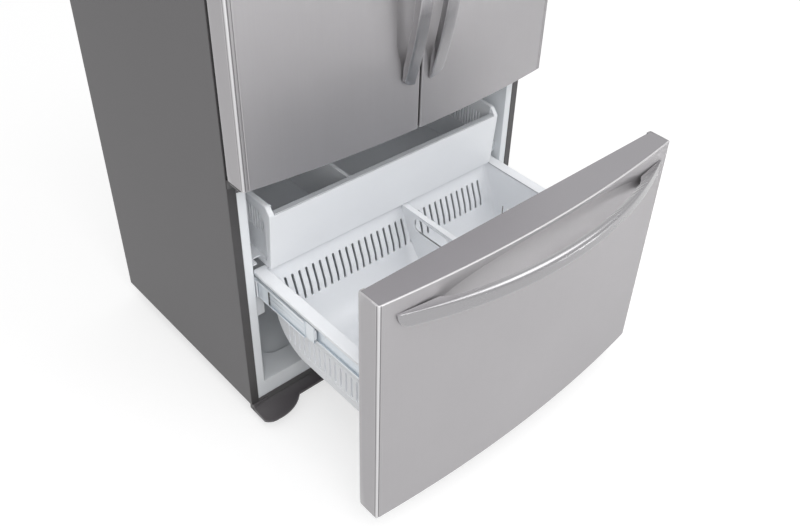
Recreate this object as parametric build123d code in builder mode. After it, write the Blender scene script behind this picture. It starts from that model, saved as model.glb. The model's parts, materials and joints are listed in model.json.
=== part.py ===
from build123d import *
import os
from math import cos, radians, sin, sqrt

# A refrigerator with two upper doors and a bottom freezer drawer, in millimetres.
# x points right as seen from the front, y to the back, z up. The floor is z = 0.
# Both doors are shut and the freezer drawer is pulled out by drawer_open.
# The origin is at the middle of the outline on the floor, open drawer and handle included.

os.makedirs("parts", exist_ok=True)

# ---------------------------------------------------------------- driving sizes
case_width = 908.0
case_height = 1737.0
case_depth = 620.0
case_bottom = 50.0            # lower edge of the side panels above the floor
steel = 1.5                   # painted sheet of the case
flange = 22.0                 # front return of the side panels
wall = 44.0                   # outer face of a side panel to the inside of the liner
liner = 3.0                   # moulded liner and basket walls
seat = 0.3                    # gap between pieces that seat on each other
run = 0.5                     # gap between pieces that slide past each other

drawer_open = 427.0           # how far the freezer drawer stands open
door_gap = 8.0                # case front to the back of a shut door, filled by its seal
panel_edge = 60.0             # thickness of doors and drawer front at their outer edges
bow = 30.0                    # how much their front faces bulge over the full width
skin = 1.5                    # stainless sheet of doors and drawer front
cap = 9.0                     # end caps at the top and bottom of doors and drawer front
drawer_low, drawer_high = 97.0, 743.0
door_low = 755.0
door_over_case = 5.0          # top of the doors above the case
door_high = case_height + door_over_case
center_gap = 6.0              # between the two doors
edge_groove = 2.4             # groove along the outer front edges
groove_inset = 9.0

handle_stand = 64.0           # front of a handle bow before the middle of the face it sits on
handle_tall = 36.0            # width of a handle bar's flat face
handle_thick = 16.0
handle_foot = 34.0            # length of each end that seats on the face
handle_corner = 8.0           # rounding of the ends
handle_edge = 2.0             # chamfer along the bar
drawer_handle_inset = 47.0    # each end of it from the side of the drawer front
drawer_handle_span = case_width - 2 * drawer_handle_inset
drawer_handle_mid = 688.0
door_handle_low, door_handle_length = 880.0, 745.0
door_handle_high = door_handle_low + door_handle_length
door_handle_x = 40.0          # middle of a door handle from the middle of the appliance
scoop_radius, scoop_depth = 108.0, 15.0
scoop_mid = 679.0             # height of the hand scoop's axis on the drawer front
door_scoop_radius, door_scoop_depth = 62.0, 11.0
scoop_end = 8.0               # degrees by which its ends run out of the face

half, inner_half = case_width / 2, case_width / 2 - wall
freezer_floor, freezer_top = 110.0, 705.0
freezer_rear, fresh_rear = 75.0, 60.0   # back of each room before the back of the case
freezer_depth, fresh_depth = case_depth - freezer_rear, case_depth - fresh_rear
fresh_floor = 800.0
top_wall = 47.0               # fresh food room's ceiling below the top of the case
fresh_top = case_height - top_wall
liner_low = 60.0              # lower edge of the white front face under the freezer
sill_width, sill_side, pan_drop = 67.0, 57.0, 16.0
machine_height, machine_depth = 200.0, 180.0
hump_run, hump_rise = 105.0, 268.0      # slant of the freezer's rear over the machine space
hump_head = case_depth - machine_depth
hump_foot = hump_head - hump_run
ledge_low, ledge_high, ledge_width, ledge_start = 318.0, 380.0, 31.0, 18.0
ledge_end = hump_foot + 70

basket_rim, basket_floor = 457.0, 250.0
basket_side_gap, rim_side_gap = 40.0, 6.0          # to the freezer's side walls
basket_half, rim_half = inner_half - basket_side_gap, inner_half - rim_side_gap
basket_rear_gap, basket_low_gap = 96.0, 24.0       # shut basket to the rear wall and hump
basket_back_top, basket_back_low = freezer_depth - basket_rear_gap, hump_foot - basket_low_gap
divider_x = 50.0

slide_low, slide_high, slide_rear_gap = 388.0, 446.0, 93.0
slide_length = freezer_depth - slide_rear_gap
slide_sheet = 1.6
slide_depth = 6.0             # one member, across

tub_side_gap, tub_rear_gap = 44.0, 105.0
tub_half, tub_depth = inner_half - tub_side_gap, freezer_depth - tub_rear_gap
tub_low, tub_top, tub_front_top = 461.0, 641.0, 620.0
tub_front_low, tub_front_high = 5.0, 17.0     # raked front of the inner drawer before the case
tub_ledge = 16.0              # depth of its top edge, which carries a trim strip
tub_chamfer = 17.0            # slanted front corner of its side walls, along y
rail_rear_gap = 85.0
rail_length = freezer_depth - rail_rear_gap

cover_low, cover_high = 26.0, 40.0      # base cover: lower front edge, crease under the case
cover_reach, lobe_reach = 33.0, 67.0
lobe_width = 124.0            # each lobe, from the side of the case

leg_inset, leg_y, foot_radius, foot_height, stud_radius = 56.0, 34.0, 19.0, 9.0, 5.0
roller_inset, roller_rear, roller_radius, roller_width = 82.0, 80.0, 20.0, 18.0
leg_x, roller_x, roller_y = half - leg_inset, half - roller_inset, case_depth - roller_rear
axle_radius = 4.0
fit = 0.06                    # radial running clearance of pins and shafts

hinge_inset = 20.0            # door pivot from the side of the case
pin_radius = 5.0

# ---------------------------------------------------------------- places worked out from them
reach = drawer_open + door_gap + panel_edge + bow + handle_stand
front = (reach - case_depth) / 2        # case front plane, with the whole outline centred on y = 0
back = front + case_depth
door_back = front - door_gap
drawer_back = door_back - drawer_open
hinge_x = half - hinge_inset
hinge_y = door_back - panel_edge / 2
bow_radius = (half**2 + bow**2) / (2 * bow)
drawer_mid = front - drawer_open        # where the case front plane lies on the pulled-out drawer


def save(piece, name):
    piece.label = name
    export_step(piece, f"parts/{name}.step")


def box(x0, x1, y0, y1, z0, z1, mode=Mode.ADD):
    """A block between two corners."""
    with Locations(((x0 + x1) / 2, (y0 + y1) / 2, (z0 + z1) / 2)):
        Box(abs(x1 - x0), abs(y1 - y0), abs(z1 - z0), mode=mode)


def face_y(back_y, x):
    """Front face of a bowed front at x, for a front whose back lies at back_y."""
    return back_y - panel_edge - bow + bow_radius - sqrt(bow_radius**2 - x**2)


def front_block(back_y, inset, low, high, x_low=-half, x_high=half):
    """Solid front with a flat back, straight sides and a bowed face, drawn in by inset."""
    side = half - inset
    edge = back_y - panel_edge + inset
    with BuildPart() as block:
        with BuildSketch(Plane.XY.offset(low)):
            with BuildLine():
                Polyline((-side, edge), (-side, back_y), (side, back_y), (side, edge))
                ThreePointArc((-side, edge), (0, back_y - panel_edge - bow + inset), (side, edge))
            make_face()
            with Locations(((x_low + x_high) / 2, back_y - 100)):
                Rectangle(x_high - x_low, 300, mode=Mode.INTERSECT)
        extrude(amount=high - low)
    return block.part


def bow_bar(edge_y, face_mid_y, span):
    """Side view of a handle: an arch that springs from a face and stands off in the middle.

    It is drawn with its length along x and its stand-off towards -y."""
    end = span / 2
    foot = handle_foot
    with BuildSketch() as bar:
        with BuildLine():
            ThreePointArc((-end, edge_y - 5), (0, face_mid_y), (end, edge_y - 5))
            Line((end, edge_y - 5), (end, edge_y + 4))
            Line((end, edge_y + 4), (end - foot, edge_y + 4))
            ThreePointArc((end - foot, edge_y + 4), (0, face_mid_y + handle_thick),
                          (foot - end, edge_y + 4))
            Line((foot - end, edge_y + 4), (-end, edge_y + 4))
            Line((-end, edge_y + 4), (-end, edge_y - 5))
        make_face()
    return bar.sketch


# ---------------------------------------------------------------- case panels
for side, name in ((-1, "left"), (1, "right")):
    with BuildPart() as side_panel:
        with BuildSketch(Plane.XY.offset(case_bottom)):
            with BuildLine():
                Polyline(
                    (side * half, back),
                    (side * half, front),
                    (side * (half - flange), front),
                    (side * (half - flange), front + steel),
                    (side * (half - steel), front + steel),
                    (side * (half - steel), back),
                    (side * half, back),
                )
            make_face()
        extrude(amount=case_height - case_bottom)
    save(side_panel.part, f"side_panel_{name}")

panel_inside = half - steel - seat
with BuildPart() as top_panel:
    box(-panel_inside, panel_inside, front + steel + seat, back, case_height - steel, case_height)
    box(-(half - flange) + seat, half - flange - seat, front, front + steel,
        fresh_top + 26, case_height)
    box(-(half - flange) + seat, half - flange - seat, front, front + 10,
        case_height - steel, case_height)
save(top_panel.part, "top_panel")

back_low = case_bottom + machine_height + 12
with BuildPart() as back_panel:
    box(-panel_inside, panel_inside, back - steel, back, back_low, case_height - steel - seat)
    with BuildSketch(Plane.XZ.offset(-back)):
        with Locations((0, (back_low + case_height) / 2)):
            with GridLocations(half / 2, 1, 3, 1):
                Rectangle(half / 3, case_height - back_low - 240)
    extrude(amount=steel / 2, mode=Mode.SUBTRACT)
save(back_panel.part, "back_panel")

# ---------------------------------------------------------------- base frame, legs and rollers
pan_top = case_bottom + 2
with BuildPart() as base_frame:
    box(-panel_inside, panel_inside, front + steel + seat, back - steel - seat, case_bottom, pan_top)
    box(-(half - flange) + seat, half - flange - seat, front, front + steel, cover_high - 2,
        liner_low - seat)
    box(-panel_inside + 30, panel_inside - 30, front + steel, front + 14, case_bottom, pan_top)
    for side in (-1, 1):
        box(side * (leg_x - 9), side * (leg_x + 9), front + leg_y - 9, front + leg_y + 9,
            case_bottom - 14, case_bottom)
        ear_x = side * (roller_x - roller_width / 2 - 3)
        box(ear_x - 1.5, ear_x + 1.5, front + roller_y - 14, front + roller_y + 14,
            roller_radius - 9, case_bottom)
        with Locations((ear_x, front + roller_y, roller_radius)):
            Cylinder(axle_radius + fit, 5, rotation=(0, 90, 0), mode=Mode.SUBTRACT)
        with Locations((side * leg_x, front + leg_y, case_bottom)):
            Cylinder(stud_radius + fit, 40, mode=Mode.SUBTRACT)
save(base_frame.part, "base_frame")

for side, name in ((-1, "left"), (1, "right")):
    with BuildPart() as leg:
        with BuildSketch():
            with Locations((side * leg_x, front + leg_y)):
                RegularPolygon(foot_radius, 8)
        extrude(amount=foot_height)
        with Locations((side * leg_x, front + leg_y, 0)):
            Cylinder(stud_radius, pan_top + 6, align=(Align.CENTER, Align.CENTER, Align.MIN))
    save(leg.part, f"levelling_leg_{name}")

# two rollers on one axle, which turns in the ears of the base frame
with BuildPart() as rollers:
    with Locations((0, front + roller_y, roller_radius)):
        Cylinder(axle_radius, 2 * roller_x, rotation=(0, 90, 0))
    for side in (-1, 1):
        with Locations((side * roller_x, front + roller_y, roller_radius)):
            Cylinder(roller_radius, roller_width, rotation=(0, 90, 0))
save(rollers.part, "rear_rollers")

# ---------------------------------------------------------------- freezer liner
liner_flange = half - flange - seat
hump_shift = (sqrt(hump_run**2 + hump_rise**2) - hump_run) / hump_rise


def freezer_side(grow=0.0):
    """Side view of the freezer room, with the hump over the machine space."""
    floor, top, deep = freezer_floor - grow, freezer_top + grow, freezer_depth + grow
    head = freezer_floor + hump_rise - grow
    with BuildSketch(Plane.YZ) as room:
        with BuildLine():
            Polyline(
                (front, floor),
                (front + hump_foot + hump_shift * grow, floor),
                (front + hump_head + hump_shift * grow, head),
                (front + deep, head),
                (front + deep, top),
                (front, top),
                (front, floor),
            )
        make_face()
    return room.sketch


hull = liner + 0.5
room_outside, room_inside, room_hull = freezer_side(liner), freezer_side(), freezer_side(hull)
with BuildPart() as freezer_liner:
    extrude(room_outside, amount=inner_half + liner, both=True)
    box(-inner_half + sill_side - liner, inner_half - sill_side + liner, front + sill_width - liner,
        front + hump_foot - 8, freezer_floor - pan_drop - liner, freezer_floor)
    with BuildSketch(Plane.XZ.offset(-front)):
        with Locations((0, (liner_low + freezer_top + 3) / 2)):
            Rectangle(2 * liner_flange, freezer_top + 3 - liner_low)
    extrude(amount=-liner)
    extrude(room_inside, amount=inner_half, both=True, mode=Mode.SUBTRACT)
    with BuildSketch(Plane.XY.offset(freezer_floor - pan_drop)):
        with Locations((0, front + (sill_width + hump_foot - 8 - liner) / 2)):
            RectangleRounded(2 * (inner_half - sill_side), hump_foot - 8 - liner - sill_width, 26)
    extrude(amount=pan_drop + 1, mode=Mode.SUBTRACT)
    for side in (-1, 1):
        box(side * inner_half, side * (inner_half - ledge_width), front + ledge_start,
            front + ledge_end, ledge_low, ledge_high)
save(freezer_liner.part, "freezer_liner")

# ---------------------------------------------------------------- fresh food liner
crisper_room = 200.0          # height under the crisper cover
shelf_step = 228.0            # from one shelf to the next
shelf_inset, shelf_rear, glass = 150.0, 30.0, 5.0
shelf_front = front + shelf_inset
shelf_back = front + fresh_depth - shelf_rear
crisper_lid = fresh_floor + crisper_room
shelf_levels = (crisper_lid + shelf_step, crisper_lid + 2 * shelf_step)
with BuildPart() as fresh_food_liner:
    with BuildSketch(Plane.XZ.offset(-front)):
        with Locations((0, (fresh_floor + fresh_top) / 2)):
            RectangleRounded(2 * (inner_half + liner), fresh_top - fresh_floor + 2 * liner, 22)
    extrude(amount=-(fresh_depth + liner))
    with BuildSketch(Plane.XZ.offset(-front)):
        with Locations((0, (fresh_floor - 4 + fresh_top + 26) / 2)):
            Rectangle(2 * liner_flange, fresh_top + 26 - fresh_floor + 4 - 2 * seat)
    extrude(amount=-liner)
    with BuildSketch(Plane.XZ.offset(-front)):
        with Locations((0, (fresh_floor + fresh_top) / 2)):
            RectangleRounded(2 * inner_half, fresh_top - fresh_floor, 20)
    extrude(amount=-fresh_depth, mode=Mode.SUBTRACT)
    for level in (*shelf_levels, crisper_lid):
        for side in (-1, 1):
            box(side * inner_half, side * (inner_half - 10), shelf_front - 10, shelf_back,
                level - 9, level - seat)
save(fresh_food_liner.part, "fresh_food_liner")

# ---------------------------------------------------------------- crossbar between the two rooms
with BuildPart() as crossbar:
    box(-liner_flange, liner_flange, front, front + 2, freezer_top + 3 + seat, fresh_floor - 4 - seat)
save(crossbar.part, "crossbar")

# ---------------------------------------------------------------- foam insulation
with BuildPart() as insulation:
    box(-panel_inside, panel_inside, front + liner + seat, back - steel - seat, pan_top + seat,
        case_height - steel - seat)
    extrude(room_hull, amount=inner_half + hull, both=True, mode=Mode.SUBTRACT)
    box(-inner_half + sill_side - hull, inner_half - sill_side + hull, front, front + hump_foot,
        freezer_floor - pan_drop - hull, freezer_floor, mode=Mode.SUBTRACT)
    box(-inner_half - hull, inner_half + hull, front, front + fresh_depth + hull,
        fresh_floor - hull, fresh_top + hull, mode=Mode.SUBTRACT)
    box(-panel_inside, panel_inside, back - machine_depth, back, pan_top,
        pan_top + machine_height, mode=Mode.SUBTRACT)
    for side in (-1, 1):
        box(side * (leg_x - 8), side * (leg_x + 8), front + leg_y - 8, front + leg_y + 8, pan_top,
            pan_top + 15, mode=Mode.SUBTRACT)
save(insulation.part, "insulation")

# ---------------------------------------------------------------- base cover with its two lobes
cover_edge = half - 3
with BuildPart() as base_cover:
    with BuildSketch(Plane.XY.offset(cover_low)) as cover_plan:
        with BuildLine():
            Polyline((-cover_edge, front - seat), (-cover_edge, front - 50))
            ThreePointArc((-cover_edge, front - 50), (-cover_edge + 12, front - 62),
                          (-cover_edge + 34, front - lobe_reach))
            ThreePointArc((-cover_edge + 34, front - lobe_reach), (-cover_edge + 92, front - 56),
                          (-half + lobe_width, front - cover_reach))
            Line((-half + lobe_width, front - cover_reach), (0, front - cover_reach))
            Line((0, front - cover_reach), (0, front - seat))
            Line((0, front - seat), (-cover_edge, front - seat))
        make_face()
        mirror(about=Plane.YZ)
    extrude(amount=cover_high - cover_low)
    with BuildSketch(Plane.YZ) as slope:
        with BuildLine():
            Polyline((front - 4, cover_high), (front - 90, cover_high - 12), (front - 90, cover_high + 9),
                     (front - 4, cover_high + 9), (front - 4, cover_high))
        make_face()
    extrude(amount=half, both=True, mode=Mode.SUBTRACT)
    with BuildSketch(Plane.XY.offset(cover_low)):
        offset(cover_plan.sketch, amount=-2.5, kind=Kind.INTERSECTION)
    extrude(amount=3, mode=Mode.SUBTRACT)
save(base_cover.part, "base_cover")

# ---------------------------------------------------------------- hinges
lower_hinge_top = door_low - 1.5
hinge_plate_low = lower_hinge_top - 24
with BuildPart() as lower_hinges:
    for side in (-1, 1):
        box(side * (half - 2), side * (half - 60), hinge_y - 14, front - seat, lower_hinge_top - 4,
            lower_hinge_top)
        box(side * (half - 2), side * (half - 60), front - 4, front - seat, hinge_plate_low,
            lower_hinge_top)
        with Locations((side * hinge_x, hinge_y, lower_hinge_top)):
            Cylinder(pin_radius, 14, align=(Align.CENTER, Align.CENTER, Align.MIN))
save(lower_hinges.part, "lower_hinges")

upper_hinge_low = door_high + 1.5
with BuildPart() as upper_hinges:
    for side in (-1, 1):
        box(side * (half - 4), side * (half - 78), hinge_y - 14, front + 96, upper_hinge_low,
            upper_hinge_low + 4)
        box(side * (half - 4), side * (half - 78), front + 10, front + 96, case_height + seat,
            upper_hinge_low)
        with Locations((side * hinge_x, hinge_y, upper_hinge_low)):
            Cylinder(pin_radius, 14, align=(Align.CENTER, Align.CENTER, Align.MAX))
save(upper_hinges.part, "upper_hinges")

cover_top = case_height + 35
with BuildPart() as hinge_covers:
    for side in (-1, 1):
        with BuildSketch(Plane.XY.offset(case_height + seat)):
            with Locations((side * (half - 44), (hinge_y - 22 + front + 108) / 2)):
                Rectangle(86, front + 108 - hinge_y + 22)
        extrude(amount=cover_top - case_height - seat)
    chamfer(hinge_covers.edges().filter_by(Axis.Z), 9)
    for side in (-1, 1):
        box(side * (half - 3.5), side * (half - 78.5), hinge_y - 14.5, front + 96.5, case_height,
            upper_hinge_low + 4.5, mode=Mode.SUBTRACT)
        box(side * half, side * (half - 90), hinge_y - 40, front + 1, case_height,
            upper_hinge_low - 0.5, mode=Mode.SUBTRACT)
save(hinge_covers.part, "hinge_covers")

# ---------------------------------------------------------------- doors
dyke, dyke_width, dyke_inset = 42.0, 20.0, 34.0     # raised border on a door's inner side
dyke_low, dyke_high = fresh_floor + 15, fresh_top - 10
foam_back = door_back - 4     # where the foam of a door ends and its moulded liner begins
bin_first, bin_step = 880.0, 260.0
bin_levels = (bin_first, bin_first + bin_step, bin_first + 2 * bin_step)
bin_tall, bin_depth = 95.0, 92.0
bin_back = door_back
door_inner_edge = center_gap / 2
mullion_out, mullion_in, mullion_thick = 32.0, 6.0, 12.0
mullion_y, mullion_low, mullion_high = front + 1.5, fresh_floor + 24, fresh_top - 24
mullion_x, mullion_pin = -mullion_out + 4, 2.0
gasket_out, gasket_wide = hinge_x - 4, 18.0


def door_block(side, inset, low, high):
    """One door's bowed block, drawn in by inset, with the hand scoop behind its handle."""
    inner = door_inner_edge + inset
    block = front_block(door_back, inset, low, high, *sorted((side * inner, side * half)))
    radius = door_scoop_radius + inset
    axis_y = face_y(door_back, door_handle_x) - door_scoop_radius + door_scoop_depth
    mid = (door_handle_low + door_handle_high) / 2
    tall = (door_handle_high - door_handle_low) / 2 - 110
    center = side * door_handle_x
    with BuildPart() as scooped:
        add(block)
        with Locations((center, axis_y, mid)):
            Cylinder(radius, 2 * tall, mode=Mode.SUBTRACT)
        start = tall - radius * sin(radians(scoop_end))
        for end, up in ((1, Align.MIN), (-1, Align.MAX)):
            with Locations(Location((center, axis_y, mid + end * start), (end * scoop_end, 0, 0))):
                Cylinder(radius, 200, align=(Align.CENTER, Align.CENTER, up), mode=Mode.SUBTRACT)
    return scooped.part


for side, name in ((-1, "left"), (1, "right")):
    pivot = (side * hinge_x, hinge_y)

    outside = door_block(side, 0, door_low, door_high)
    inside = door_block(side, skin, door_low, door_high)
    filling = door_block(side, skin + seat, door_low, door_high)
    face = front_block(door_back, -seat, door_low, door_high)

    with BuildPart() as door_skin:
        add(outside)
        add(inside, mode=Mode.SUBTRACT)
        box(side * (half - 14), side * (door_inner_edge + 14), door_back - skin, door_back,
            door_low, door_high, mode=Mode.SUBTRACT)
        with BuildSketch(Plane.XY.offset(door_low)):
            with Locations((side * (half - groove_inset), face_y(door_back, half - groove_inset))):
                Rectangle(edge_groove, 1.6)
        extrude(amount=door_high - door_low, mode=Mode.SUBTRACT)
    save(door_skin.part, f"{name}_door_skin")

    with BuildPart() as door_caps:
        add(filling)
        box(-half, half, door_back - 200, door_back + 1, door_low + cap, door_high - cap,
            mode=Mode.SUBTRACT)
        with Locations((*pivot, (door_low + door_high) / 2)):
            Cylinder(pin_radius + fit, door_high - door_low + 2, mode=Mode.SUBTRACT)
    save(door_caps.part, f"{name}_door_caps")

    with BuildPart() as door_foam:
        add(filling)
        for low, high in ((door_low, door_low + cap), (door_high - cap, door_high)):
            box(-half, half, door_back - 200, door_back + 1, low - seat, high + seat,
                mode=Mode.SUBTRACT)
        box(-half, half, foam_back, door_back + 1, door_low, door_high, mode=Mode.SUBTRACT)
        for z in (door_low + cap, door_high - cap):
            with Locations((*pivot, z)):
                Box(3 * pin_radius, 3 * pin_radius, 16, mode=Mode.SUBTRACT)
    save(door_foam.part, f"{name}_door_foam")

    x_in, x_out = door_inner_edge + dyke_inset, inner_half - 12
    with BuildPart() as door_liner:
        box(side * (door_inner_edge + skin + seat), side * (half - skin - seat), foam_back + seat,
            door_back, door_low + cap + seat, door_high - cap - seat)
        box(side * x_in, side * x_out, door_back - 1, front + dyke, dyke_low, dyke_high)
        box(side * (x_in + dyke_width), side * (x_out - dyke_width), foam_back + liner,
            front + dyke + 1, dyke_low + dyke_width, dyke_high - dyke_width, mode=Mode.SUBTRACT)
        if side < 0:
            for z, up in ((mullion_low - seat, 1), (mullion_high + seat, -1)):
                box(-x_in - 2, -mullion_in - 12, mullion_y, mullion_y + mullion_thick, z - 4 * up, z)
                with Locations((mullion_x, mullion_y + mullion_thick / 2, z + 3 * up)):
                    Cylinder(mullion_pin, 8)
    save(door_liner.part, f"{name}_door_liner")

    with BuildPart() as door_gasket:
        g_in, g_out = door_inner_edge + 4, gasket_out
        g_low, g_high = door_low + 8, door_high - 28
        box(side * g_in, side * g_out, door_back + seat, front - seat, g_low, g_high)
        box(side * (g_in + gasket_wide), side * (g_out - gasket_wide), door_back - 1, front + 1,
            g_low + gasket_wide, g_high - gasket_wide, mode=Mode.SUBTRACT)
    save(door_gasket.part, f"{name}_door_gasket")

    edge = face_y(door_back, door_handle_x)
    bar = bow_bar(edge, edge - handle_stand, door_handle_high - door_handle_low)
    upright = Location((side * door_handle_x, 0, (door_handle_low + door_handle_high) / 2))
    standing = bar.rotate(Axis.Y, 90).moved(upright)
    with BuildPart() as door_handle:
        extrude(standing, amount=handle_tall / 2, both=True)
        fillet(door_handle.edges().filter_by(Axis.Y).group_by(Axis.Z)[0], handle_corner)
        fillet(door_handle.edges().filter_by(Axis.Y).group_by(Axis.Z)[-1], handle_corner)
        add(face, mode=Mode.SUBTRACT)
    save(door_handle.part, f"{name}_door_handle")

    with BuildPart() as door_bins:
        for level in bin_levels:
            bin_in, bin_out = x_in + dyke_width + seat, x_out - dyke_width - seat
            box(side * bin_in, side * bin_out, bin_back + seat, bin_back + bin_depth, level,
                level + bin_tall)
            box(side * (bin_in + liner), side * (bin_out - liner), bin_back + seat + liner,
                bin_back + bin_depth - liner, level + liner, level + bin_tall + 1,
                mode=Mode.SUBTRACT)
    save(door_bins.part, f"{name}_door_bins")

# folding bar behind the inner edge of the left door
with BuildPart() as flip_mullion:
    box(-mullion_out, -mullion_in, mullion_y, mullion_y + mullion_thick, mullion_low,
        mullion_high)
    chamfer(flip_mullion.edges().filter_by(Axis.Z), 2)
    for z in (mullion_low, mullion_high):
        with Locations((mullion_x, mullion_y + mullion_thick / 2, z)):
            Cylinder(mullion_pin + fit, 20, mode=Mode.SUBTRACT)
save(flip_mullion.part, "flip_mullion")

# ---------------------------------------------------------------- freezer drawer front


def drawer_block(inset, low, high):
    """The drawer front's bowed block, drawn in by inset, with a straight hand scoop."""
    block = front_block(drawer_back, inset, low, high)
    axis_y = face_y(drawer_back, 0) - scoop_radius + scoop_depth
    with BuildPart() as scooped:
        add(block)
        with Locations((0, axis_y, scoop_mid)):
            Cylinder(scoop_radius + inset, case_width + 4, rotation=(0, 90, 0), mode=Mode.SUBTRACT)
    return scooped.part


outside = drawer_block(0, drawer_low, drawer_high)
inside = drawer_block(skin, drawer_low, drawer_high)
filling = drawer_block(skin + seat, drawer_low, drawer_high)
face = front_block(drawer_back, -seat, drawer_low, drawer_high)

with BuildPart() as drawer_skin:
    add(outside)
    add(inside, mode=Mode.SUBTRACT)
    box(-half + 14, half - 14, drawer_back - skin, drawer_back, drawer_low, drawer_high,
        mode=Mode.SUBTRACT)
    for side in (-1, 1):
        with BuildSketch(Plane.XY.offset(drawer_low)):
            with Locations((side * (half - groove_inset),
                            face_y(drawer_back, half - groove_inset))):
                Rectangle(edge_groove, 1.6)
        extrude(amount=drawer_high - drawer_low, mode=Mode.SUBTRACT)
save(drawer_skin.part, "drawer_skin")

with BuildPart() as drawer_caps:
    add(filling)
    box(-half, half, drawer_back - 200, drawer_back + 1, drawer_low + cap, drawer_high - cap,
        mode=Mode.SUBTRACT)
save(drawer_caps.part, "drawer_caps")

tub_recess = tub_front_high - door_gap + 7
with BuildPart() as drawer_inner_panel:
    add(filling)
    for low, high in ((drawer_low, drawer_low + cap), (drawer_high - cap, drawer_high)):
        box(-half, half, drawer_back - 200, drawer_back + 1, low - seat, high + seat,
            mode=Mode.SUBTRACT)
    box(-tub_half - 14, tub_half + 14, drawer_back - tub_recess, drawer_back + 1, tub_low - 8,
        tub_top + 16, mode=Mode.SUBTRACT)
save(drawer_inner_panel.part, "drawer_inner_panel")

with BuildPart() as drawer_gasket:
    g_low, g_high = drawer_low + 8, hinge_plate_low - 2.5
    box(-gasket_out, gasket_out, drawer_back + seat, drawer_back + door_gap - seat, g_low, g_high)
    box(-gasket_out + gasket_wide, gasket_out - gasket_wide, drawer_back - 1,
        drawer_back + door_gap + 1, g_low + gasket_wide, g_high - gasket_wide, mode=Mode.SUBTRACT)
save(drawer_gasket.part, "drawer_gasket")

bar = bow_bar(face_y(drawer_back, drawer_handle_span / 2), face_y(drawer_back, 0) - handle_stand,
              drawer_handle_span).moved(Location((0, 0, drawer_handle_mid)))
with BuildPart() as drawer_handle:
    extrude(bar, amount=handle_tall / 2, both=True)
    fillet(drawer_handle.edges().filter_by(Axis.Y).group_by(Axis.X)[0], handle_corner)
    fillet(drawer_handle.edges().filter_by(Axis.Y).group_by(Axis.X)[-1], handle_corner)
    add(face, mode=Mode.SUBTRACT)
save(drawer_handle.part, "drawer_handle")

# ---------------------------------------------------------------- freezer basket
basket_front = drawer_mid - door_gap + seat
slot_pitch, slot_wide = 19.7, 6.0
basket_back = drawer_mid + basket_back_top


def basket_side(inset):
    """Side view of the basket, its back wall curving forward under the rim."""
    rear, low_rear = basket_back - inset, drawer_mid + basket_back_low - inset
    low, high = basket_floor + inset, basket_rim + inset
    with BuildSketch(Plane.YZ) as view:
        with BuildLine():
            Polyline((low_rear, low), (basket_front + inset, low), (basket_front + inset, high),
                     (rear, high), (rear - 37, high - 101))
            ThreePointArc((rear - 37, high - 101), (rear - 67, high - 169), (low_rear, low))
        make_face()
    return view.sketch


basket_outside, basket_inside = basket_side(0), basket_side(liner)
with BuildPart() as basket:
    extrude(basket_outside, amount=basket_half, both=True)
    extrude(basket_inside, amount=basket_half - liner, both=True, mode=Mode.SUBTRACT)
    with BuildSketch(Plane.XY.offset(basket_rim - liner)):
        with Locations((0, (basket_front + basket_back) / 2)):
            Rectangle(2 * rim_half, basket_back - basket_front)
            Rectangle(2 * (basket_half - liner), basket_back - basket_front - 2 * liner,
                      mode=Mode.SUBTRACT)
    extrude(amount=liner)
    with BuildSketch(Plane.YZ.offset(-basket_half - 5)):
        with Locations((drawer_mid + 200, (280 + 344) / 2)):
            with GridLocations(slot_pitch, 1, 17, 1):
                Rectangle(slot_wide, 64)
    extrude(amount=2 * basket_half + 10, mode=Mode.SUBTRACT)
    with BuildSketch(Plane.XZ.offset(-(basket_back + 5))):
        with Locations((0, (336 + 412) / 2)):
            with GridLocations(20.4, 1, 33, 1):
                Rectangle(slot_wide + 1, 76)
    extrude(amount=80, mode=Mode.SUBTRACT)
save(basket.part, "basket")

with BuildPart() as basket_divider:
    d_front, d_back = basket_front + liner + seat, basket_back - liner - 4
    with BuildSketch(Plane.YZ.offset(divider_x)):
        with BuildLine():
            Polyline((d_front, basket_rim), (d_front, basket_floor + 60),
                     (d_back - 76, basket_floor + 60), (d_back - 37, basket_rim - 90),
                     (d_back, basket_rim), (d_front, basket_rim))
        make_face()
        with Locations((drawer_mid + 320, basket_rim - 38)):
            RectangleRounded(128, 40, 15, mode=Mode.SUBTRACT)
    extrude(amount=4)
save(basket_divider.part, "basket_divider")

# ---------------------------------------------------------------- drawer slides, three members a side


def channel(side, x_web, z_low, z_high, y0, y1, opens):
    """A rolled channel along y: a web and two lips that turn towards opens."""
    x_lip = x_web + opens * slide_depth
    box(side * x_web, side * (x_web + opens * slide_sheet), y0, y1, z_low, z_high)
    for low, high in ((z_low, z_low + slide_sheet), (z_high - slide_sheet, z_high)):
        box(side * x_web, side * x_lip, y0, y1, low, high)


outer_web = inner_half - 6
with BuildPart() as slide_outer:
    for side in (-1, 1):
        channel(side, outer_web, slide_low, slide_high, front + 6, front + 6 + slide_length, -1)
        for y in (14, slide_length / 2, slide_length - 40):
            box(side * (inner_half - seat), side * outer_web, front + y, front + y + 26,
                slide_low + 14, slide_high - 14)
save(slide_outer.part, "slide_outer_members")

middle_shift = drawer_open / 2
stop_front, stop_length = front + 10 - middle_shift, 20.0
with BuildPart() as slide_middle:
    for side in (-1, 1):
        channel(side, outer_web - slide_depth - run, slide_low + 4, slide_high - 4,
                front + 6 - middle_shift, front - 4 + slide_length - middle_shift, -1)
        box(side * (outer_web - slide_sheet - run), side * (outer_web - slide_depth - run),
            front + 60 - middle_shift, front + slide_length - 60 - middle_shift,
            slide_low + slide_sheet + run, slide_high - slide_sheet - run)
        box(side * (outer_web - slide_depth - run - slide_sheet),
            side * (outer_web - 2 * slide_depth - run),
            stop_front, stop_front + stop_length, slide_low + 12, slide_high - 12)
save(slide_middle.part, "slide_middle_members")

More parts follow.
